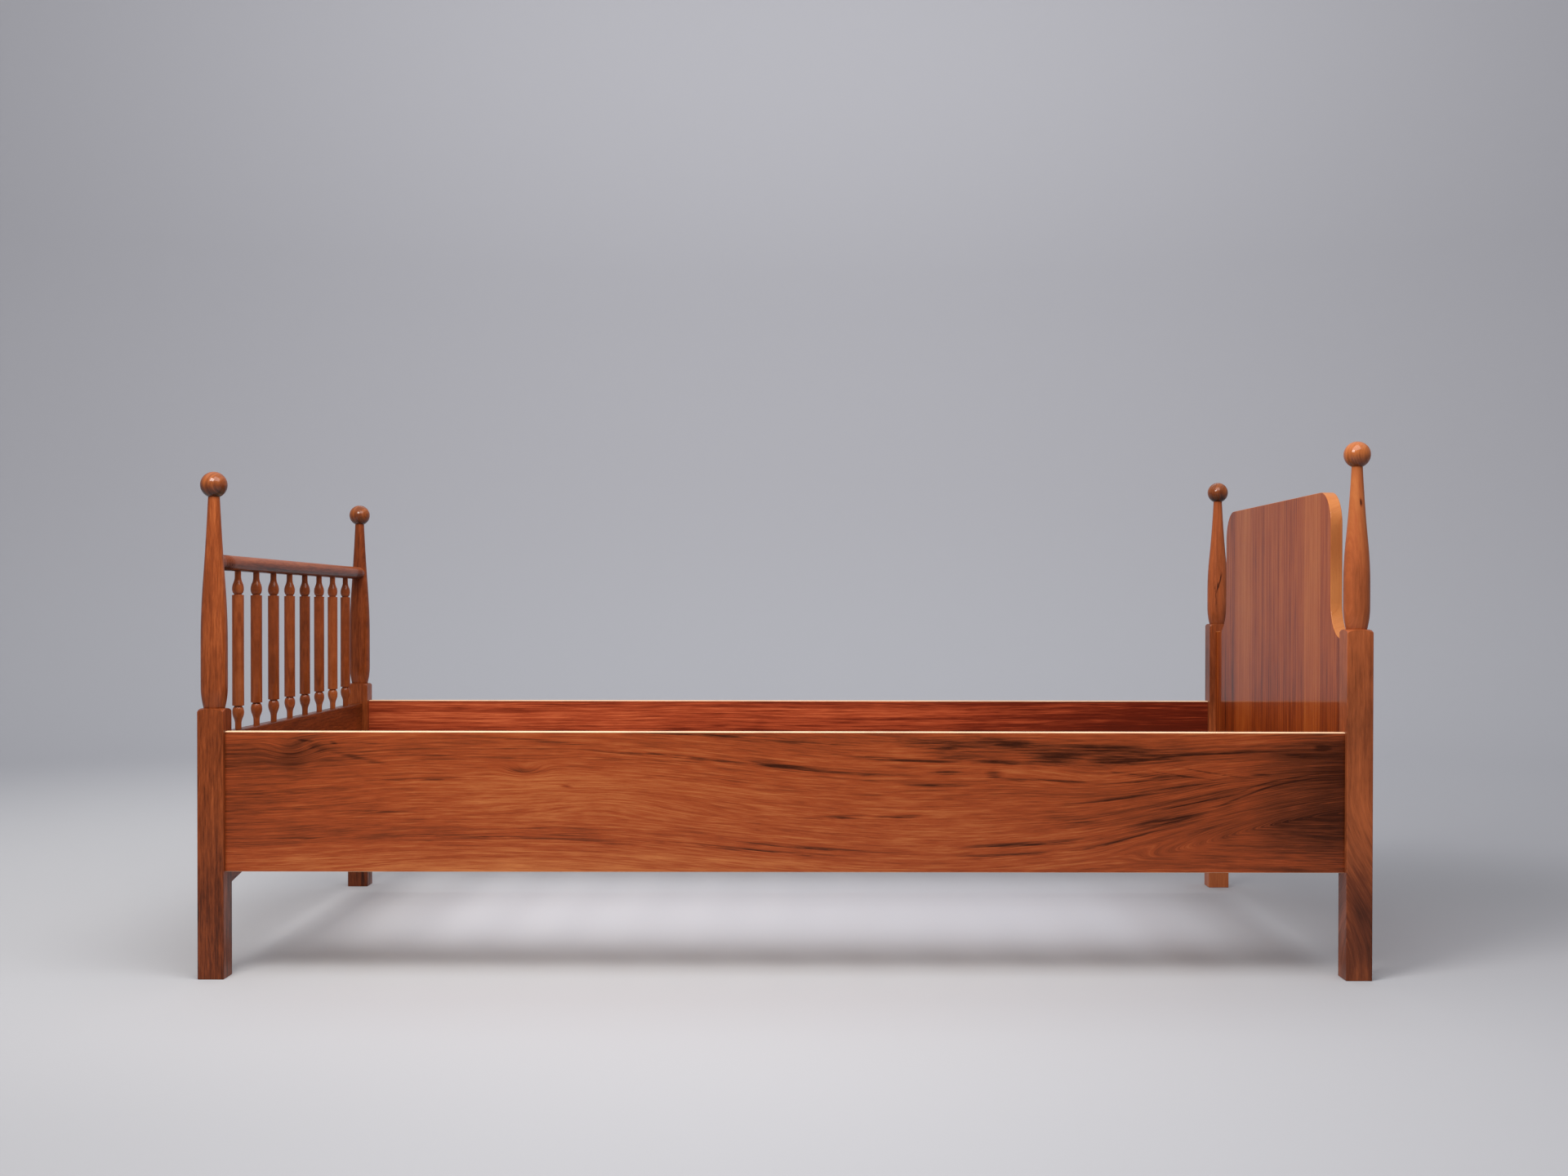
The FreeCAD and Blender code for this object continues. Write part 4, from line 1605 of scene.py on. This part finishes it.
@dataclass
class Spindle:
    """One turned spindle: tenon, neck, bulb, groove and a long barrel, alike at both ends."""

    node: str
    seed: float
    pith: Point
    tone: float
    neck_diameter: float = mm(11.6)
    bulb_diameter: float = mm(21.2)
    barrel_diameter: float = mm(21.4)
    groove_diameter: float = mm(14.6)
    groove_width: float = mm(2.6)
    lip_diameter: float = mm(17)
    end_length: float = mm(43.2)
    neck_rise: float = mm(9)
    bulb_rise: float = mm(32)
    bulb_steps: int = 10
    chamfer: float = mm(1)
    chamfer_steps: int = 4
    tenon_length: float = mm(14)
    turned_steps: int = 48

    def half_outline(self, half: float) -> list[Point]:
        """The outline from the lower tenon's end up to the barrel.

        Args:
            half: half the free length between the tenons.

        Returns:
            The outline, about the spindle's middle.
        """
        neck = self.neck_diameter / 2
        base = -half
        end = base + self.end_length
        groove = end - self.groove_width
        neck_high = (neck, base + self.neck_rise)
        swell = ((self.neck_diameter + self.bulb_diameter) / 4,
                 base + (self.neck_rise + self.bulb_rise) / 2)
        bulb = (self.bulb_diameter / 2, base + self.bulb_rise)
        lip = (self.lip_diameter / 2, groove)
        outline = [(0.0, base - self.tenon_length), (neck, base - self.tenon_length), neck_high]
        outline += flowing_arcs(neck_high, (0, 1), [swell, bulb, lip], self.bulb_steps)
        outline += [(self.groove_diameter / 2, groove), (self.groove_diameter / 2, end)]
        barrel = self.barrel_diameter / 2
        start = (barrel - self.chamfer, end)
        rounded = flowing_arcs(start, (1, 0), [(barrel, end + self.chamfer)], self.chamfer_steps)
        return outline + [start] + rounded

    def build(self) -> bpy.types.Object:
        """Build, dress and place the spindle.

        Returns:
            The finished piece.
        """
        low, middle, high = box_of(self.node)
        lower = self.half_outline((high.z - low.z) / 2 - self.tenon_length)
        outline = lower + [(radius, -height) for radius, height in reversed(lower)]
        name = f"{self.node}_turned"
        spindle = Solid.turned(name, outline, self.turned_steps).shifted(*middle)
        pith = (middle.x + self.pith[0], middle.y + self.pith[1])
        material = SPINDLE_WOOD.material(name, Grain(Cut.POST, self.seed, pith, self.tone))
        return spindle.piece(self.node, Slot.TURNED, material)


@dataclass
class FootEnd:
    """The round rail, its spindles and the board that carries them."""

    rail: RoundRail = field(default_factory=RoundRail)
    spindle_tones: tuple[float, ...] = (-0.16, 0.00, 0.08, -0.02, 0.12, 0.02, -0.10, 0.04)
    spindle_seed: float = 11.3
    spindle_seed_step: float = 0.7
    spindle_piths: tuple[Point, ...] = (
        (-mm(25), mm(40)), (-mm(16), mm(40)), (-mm(7), mm(40)),
    )
    board: str = "foot_rail"
    board_seed: float = 2.9
    board_pith: Point = (mm(120), -mm(70))
    board_tone: float = 0.27

    def build(self) -> list[bpy.types.Object]:
        """Build the spindles and the round rail, and dress the board.

        Returns:
            The finished pieces.
        """
        post = box_of("foot_post_back")[1]
        nodes = [f"foot_spindle_{index + 1}" for index in range(len(self.spindle_tones))]
        pieces = []
        for index, (node, tone) in enumerate(zip(nodes, self.spindle_tones)):
            seed = self.spindle_seed + self.spindle_seed_step * index
            pith = self.spindle_piths[index % len(self.spindle_piths)]
            pieces.append(Spindle(node, seed, pith, tone).build())
        pieces.append(self.rail.build(post, [box_of(node)[1].y for node in nodes]))
        pith = (self.board_pith[0], post.x + self.board_pith[1])
        grain = Grain(Cut.CROSS_RAIL, self.board_seed, pith, self.board_tone)
        return pieces + [dress(self.board, MAHOGANY.material(self.board, grain))]


@dataclass
class SideBoard:
    """One long side board, veneered between pale edge wood that also paints a highlight along its
    edges. It keeps its construction shape.
    """

    side: Side
    finish: WoodFinish
    figure: Figure
    seed: float
    tone: float
    pith: Point = (-0.35, 0.12)
    # Pale edge wood, made paler still to paint the highlight along the edges.
    edge_colour_with_highlight: Colour = screen(255, 216, 176)

    def build(self) -> list[bpy.types.Object]:
        """Dress the board.

        Returns:
            The finished piece.
        """
        node = f"side_rail_{self.side.word}"
        low, middle, high = box_of(node)
        lipping = Lipping(middle.y, (high.y - low.y) / 2, self.edge_colour_with_highlight)
        pith = (self.pith[0], middle.y + self.pith[1])
        grain = Grain(Cut.SIDE_RAIL, self.seed, pith, self.tone)
        return [dress(node, self.finish.material(node, grain, self.figure, lipping))]


@dataclass
class HeadPanel:
    """The head panel, faced with upright leaves of veneer. It keeps its construction shape."""

    node: str = "head_panel"
    seed: float = 1.3
    pith: Point = (-1.6, 0.3)
    # Pale edge wood, made paler still to paint highlights on the edge's top and its lower hollow.
    edge_colour_with_highlight: Colour = screen(202, 127, 72)
    # Painted shade down the middle of the front edge, between its paler top and lower hollow.
    edge_painted_shade_height: float = 0.775
    edge_painted_shade_reach: Point = (0.090, 0.40)
    edge_painted_shade_depth: float = 0.50

    def build(self) -> list[bpy.types.Object]:
        """Dress the panel.

        Returns:
            The finished piece.
        """
        low, middle, high = box_of(self.node)
        # Painted shade on the middle of the edge.
        shade = Cloud((self.edge_painted_shade_height, low.y), self.edge_painted_shade_reach,
                      self.edge_painted_shade_depth)
        lipping = Lipping(middle.x, (high.x - low.x) / 2, self.edge_colour_with_highlight, (shade,))
        grain = Grain(Cut.HEAD_PANEL, self.seed, (self.pith[0], high.x + self.pith[1]))
        material = PANEL_VENEER.material(self.node, grain, PANEL_LEAVES, lipping)
        return [dress(self.node, material)]


@dataclass
class SlattedBase:
    """The slats and the ledgers that they lie on, in plain pine."""

    slat_count: int = 14
    slat_tones: tuple[float, ...] = (0.0, 0.08, -0.06, 0.04, 0.12, -0.02, 0.06)
    slat_seed: float = 13.0
    slat_seed_step: float = 1.1
    slat_pith: Point = (mm(10), -mm(40))
    ledger_seed: float = 31.0
    ledger_pith: Point = (-mm(90), -mm(30))
    ledger_tone: float = 0.06

    def build(self) -> list[bpy.types.Object]:
        """Dress the slats and ledgers.

        Returns:
            The finished pieces.
        """
        pieces = []
        for index in range(1, self.slat_count + 1):
            node = f"slat_{index:02d}"
            low, middle, _ = box_of(node)
            pith = (middle.x + self.slat_pith[0], low.z + self.slat_pith[1])
            tone = self.slat_tones[index % len(self.slat_tones)]
            grain = Grain(Cut.SLAT, self.slat_seed + self.slat_seed_step * index, pith, tone)
            pieces.append(dress(node, PINE.material(node, grain)))
        for index, side in enumerate(Side):
            node = f"ledger_{side.word}"
            low = box_of(node)[0]
            pith = (low.z + self.ledger_pith[0], low.y + self.ledger_pith[1])
            grain = Grain(Cut.SIDE_RAIL, self.ledger_seed + index, pith, self.ledger_tone)
            pieces.append(dress(node, PINE.material(node, grain)))
        return pieces


@dataclass
class ScrewGroup:
    """A group of countersunk wood screws with a cross in each head and a rolled thread."""

    node: str
    head_steps: int = 24
    head_rim: float = mm(0.3)
    thread_pitch_share: float = 0.42
    thread_depth_share: float = 0.16
    thread_root_share: float = 0.9
    thread_flank_share: float = 0.25
    thread_steps: int = 12
    cross_width_share: float = 0.26
    cross_length_share: float = 1.15
    cross_depth_share: float = 0.55
    cross_floor: float = mm(0.4)
    cross_overrun: float = mm(0.5)
    end_band: float = mm(0.01)
    size_digits: int = 5

    def places(self) -> list[tuple[Vector, Vector, Place]]:
        """Where the screws sit, from the node's mesh.

        Returns:
            Each screw's head point, its direction, and its length, head radius and shank radius.
        """
        found = []
        copy = Solid.copy_of(self.node).mesh
        for part in islands(copy):
            points = [vertex.co.copy() for vertex in part]
            low = Vector(min(point[i] for point in points) for i in range(3))
            high = Vector(max(point[i] for point in points) for i in range(3))
            axis = max(range(3), key=lambda i: high[i] - low[i])
            middle = (low + high) / 2
            radii = {}
            for end in (low[axis], high[axis]):
                rim = [point for point in points if abs(point[axis] - end) < self.end_band]
                radii[end] = max(self._off_axis(point - middle, axis) for point in rim)
            head = middle.copy()
            head[axis] = max(radii, key=radii.get)
            direction = Vector((0.0, 0.0, 0.0))
            direction[axis] = 1.0 if head[axis] == low[axis] else -1.0
            size = (high[axis] - low[axis], max(radii.values()), min(radii.values()))
            found.append((head, direction, size))
        copy.free()
        return found

    @staticmethod
    def _off_axis(offset: Vector, axis: int) -> float:
        """How far a point is from an axis through the origin."""
        return math.hypot(*(offset[i] for i in range(3) if i != axis))

    def screw(self, length: float, head: float, shank: float) -> Solid:
        """One screw that points down from the origin.

        Args:
            length: its length.
            head: its head's radius.
            shank: its thread's radius.

        Returns:
            The screw.
        """
        root = shank * (1 - self.thread_depth_share)
        cone = head - root
        outline = [(0.0, -length), (root, -length + root), (root, -cone - self.head_rim),
                   (head, -self.head_rim), (head, 0.0), (0.0, 0.0)]
        body = Solid.turned(self.node, outline, self.head_steps)
        depth = cone * self.cross_depth_share + self.cross_floor
        x = head * self.cross_length_share / 2
        y = head * self.cross_width_share / 2
        for turn in (0.0, math.pi / 2):
            slot = Solid.block("slot", Vector((-x, -y, -depth)), Vector((x, y, self.cross_overrun)))
            body = body.combined(Combine.CUT, slot.moved(Matrix.Rotation(turn, 4, "Z")))
        return body.joined([self.thread(-cone, 2 * root - length, root, shank)])

    def thread(self, high: float, low: float, root: float, shank: float) -> Solid:
        """The screw's thread, a ridge wound round the shank.

        Args:
            high, low: the heights between which it winds.
            root: the radius that it stands on.
            shank: its own radius.

        Returns:
            The thread.
        """
        pitch = shank * 2 * self.thread_pitch_share
        top = high - pitch
        turns = int((top - low) / pitch)
        inside = root * self.thread_root_share
        flank = pitch * self.thread_flank_share
        corners = ((inside, top + flank), (shank, top), (inside, top - flank))
        ridge = Solid("thread")
        points = [ridge.mesh.verts.new((radius, 0.0, height)) for radius, height in corners]
        edges = [ridge.mesh.edges.new(pair) for pair in zip(points, points[1:] + points[:1])]
        ridge.mesh.faces.new(points)
        made = bmesh.ops.spin(
            ridge.mesh, geom=points + edges, cent=(0, 0, 0), axis=(0, 0, -1),
            dvec=(0, 0, -pitch / self.thread_steps), angle=turns * FULL_TURN,
            steps=turns * self.thread_steps, use_merge=False, use_duplicate=False)
        ridge.mesh.faces.new(item for item in made["geom_last"]
                             if isinstance(item, bmesh.types.BMVert))
        bmesh.ops.recalc_face_normals(ridge.mesh, faces=ridge.mesh.faces)
        return ridge

    def build(self) -> bpy.types.Object:
        """Build every screw of the group as one piece.

        Returns:
            The finished piece.
        """
        group = Solid(f"{self.node}_cross_head")
        patterns: dict[tuple[float, ...], Solid] = {}
        for head, direction, size in self.places():
            key = tuple(round(length, self.size_digits) for length in size)
            if key not in patterns:
                patterns[key] = self.screw(*size)
            turn = Vector((0, 0, -1)).rotation_difference(direction).to_matrix().to_4x4()
            one = Solid("one").joined([patterns[key]])
            group.joined([one.moved(Matrix.Translation(head) @ turn)])
        return group.piece(self.node, Slot.SCREW, ZINC.material(group.name))


@dataclass
class Fittings:
    """The steel plates, which keep their construction shapes, and the screws."""

    plates: tuple[str, ...] = PLATES
    screws: tuple[str, ...] = (
        "hook_plate_screws", "receiver_plate_screws", "ledger_screws", "slat_screws",
    )

    def build(self) -> list[bpy.types.Object]:
        """Dress the plates and build the screws."""
        dressed = [dress(node, ZINC.material(node)) for node in self.plates]
        return dressed + [ScrewGroup(node).build() for node in self.screws]


@dataclass(frozen=True)
class Softbox:
    """A rectangular soft light.

    Attributes:
        name: the light's name.
        place: where it stands.
        target: the point that it faces.
        size: its width and height.
        power: its power in watts.
        colour: its colour.
    """

    name: str
    place: Place
    target: Place
    size: Point
    power: float
    colour: Colour

    def build(self) -> None:
        """Set up the light."""
        data = bpy.data.lights.new(self.name, "AREA")
        data.shape = "RECTANGLE"
        data.size, data.size_y = self.size
        data.energy = self.power
        data.color = self.colour
        made = bpy.data.objects.new(self.name, data)
        way = Vector(self.target) - Vector(self.place)
        turn = way.to_track_quat("-Z", "Y").to_matrix().to_4x4()
        made.matrix_world = Matrix.Translation(self.place) @ turn
        bpy.context.scene.collection.objects.link(made)


SOFTBOXES = (
    Softbox("key", (-1.0, -2.0, 2.25), (0.0, 0.0, 0.4), (1.1, 1.0), 46.0, screen(255, 252, 246)),
    Softbox("middle", (0.4, -1.4, 2.5), (0.0, -0.1, 0.4), (2.0, 1.5), 34.0,
            screen(255, 253, 250)),
    Softbox("wall", (0.0, 3.6, 5.2), (0.0, 7.6, 1.4), (4.0, 1.5), 142.0, screen(255, 255, 255)),
    Softbox("fill", (0.0, 0.15, 0.24), (0.0, 0.15, 0.0), (1.7, 0.7), 3.3, screen(238, 244, 255)),
)


@dataclass
class Studio:
    """The pale floor and backdrop with painted light and shade on the floor, the lights and the
    camera.
    """

    floor_radius: float = 4.8
    wall_radius: float = 7.6
    wall_height: float = 7.0
    cove_steps: int = 16
    round_steps: int = 96
    floor_colour: Colour = screen(180, 181, 186)
    wall_colour: Colour = screen(176, 176, 181)
    colour_change_height: float = 1.6
    paper_roughness: float = 0.9
    # Painted light and shade on the floor: the first two darken the key light's pool and paint the
    # shadow beside the bed, the last two lighten the floor.
    painted_light_patches: tuple[tuple[Point, Point, float], ...] = (
        ((-1.2, -1.7), (1.5, 1.2), 0.16),
        ((1.65, 0.45), (1.0, 1.0), 0.20),
        ((-2.0, 1.2), (2.6, 3.2), -0.36),
        ((0.0, -0.8), (1.6, 0.9), -0.07),
    )
    patch_height: float = 3.0
    softboxes: tuple[Softbox, ...] = SOFTBOXES
    world_colour: Colour = screen(252, 252, 255)
    world_strength: float = 0.715
    lens: float = 39.36
    sensor: float = 36.0
    shift: Point = (-0.00776, 0.02285)
    camera_place: Place = (0.02356, -3.55843, 0.66049)
    pitch: float = 0.00962
    yaw: float = -0.00127
    roll: float = 0.00112

    def backdrop(self) -> None:
        """A round floor that curves up into a wall all the way round, with painted light and shade
        patches.
        """
        rim = (self.floor_radius, 0.0)
        top_of_cove = (self.wall_radius, self.wall_radius - self.floor_radius)
        outline = [(0.0, 0.0), rim, *flowing_arcs(rim, (1, 0), [top_of_cove], self.cove_steps),
                   (self.wall_radius, self.wall_height)]
        sheet = Solid.turned("studio_floor", outline, self.round_steps)
        bmesh.ops.reverse_faces(sheet.mesh, faces=sheet.mesh.faces)
        made = sheet.to_object()
        made.data.shade_smooth()
        graph = Graph("studio_paper")
        place = graph.place()
        height = graph.parts(place).output("Z").eased(0.0, self.colour_change_height)
        colour = graph.mix(height, self.floor_colour, self.wall_colour)
        # Painted light and shade: each patch darkens the paper towards black or lightens it towards
        # white.
        for centre, reach, shade in self.painted_light_patches:
            patch = graph.oval(place, centre, reach, depth=self.patch_height)
            end = (0.0, 0.0, 0.0) if shade > 0 else (1.0, 1.0, 1.0)
            colour = graph.mix(patch * abs(shade), colour, end)
        made.data.materials.append(
            graph.surface(Base_Color=colour, Roughness=self.paper_roughness))

    def world(self) -> None:
        """An even pale surrounding light."""
        world = bpy.data.worlds.new("studio_world")
        world.use_nodes = True
        background = world.node_tree.nodes["Background"]
        background.inputs["Color"].default_value = (*self.world_colour, 1.0)
        background.inputs["Strength"].default_value = self.world_strength
        bpy.context.scene.world = world

    def camera(self) -> None:
        """The camera at the photograph's viewpoint."""
        level = Vector((math.cos(self.yaw), -math.sin(self.yaw), 0.0))
        ahead = Vector((math.sin(self.yaw), math.cos(self.yaw), 0.0))
        forward = ahead * math.cos(self.pitch) - Vector((0.0, 0.0, math.sin(self.pitch)))
        right = level * math.cos(self.roll) + level.cross(forward) * math.sin(self.roll)
        up = right.cross(forward)
        data = bpy.data.cameras.new("camera")
        data.lens = self.lens
        data.sensor_width = self.sensor
        data.shift_x, data.shift_y = self.shift
        made = bpy.data.objects.new("camera", data)
        turn = Matrix((right, up, -forward)).transposed().to_4x4()
        made.matrix_world = Matrix.Translation(self.camera_place) @ turn
        bpy.context.scene.collection.objects.link(made)
        bpy.context.scene.camera = made

    def build(self) -> None:
        """Set up the studio."""
        bpy.context.scene.view_settings.view_transform = "Standard"
        self.backdrop()
        self.world()
        for softbox in self.softboxes:
            softbox.build()
        self.camera()


def main() -> None:
    """Build the bed frame's sub-assemblies in order, report each piece, and set up the studio."""
    logging.basicConfig(level=logging.INFO, format="%(message)s")
    assemblies = (
        CornerPosts(),
        FootEnd(),
        SideBoard(Side.FRONT, RAIL_WOOD, FRONT_RAIL_FIGURE, seed=5.2, tone=0.0),
        SideBoard(Side.BACK, BACK_RAIL_WOOD, BACK_RAIL_FIGURE, seed=8.6, tone=0.09),
        HeadPanel(),
        SlattedBase(),
        Fittings(),
    )
    for assembly in assemblies:
        for piece in assembly.build():
            log.info("%s: %s, %d faces", type(assembly).__name__, piece.name,
                     len(piece.data.polygons))
    Studio().build()


if __name__ == "__main__":
    main()
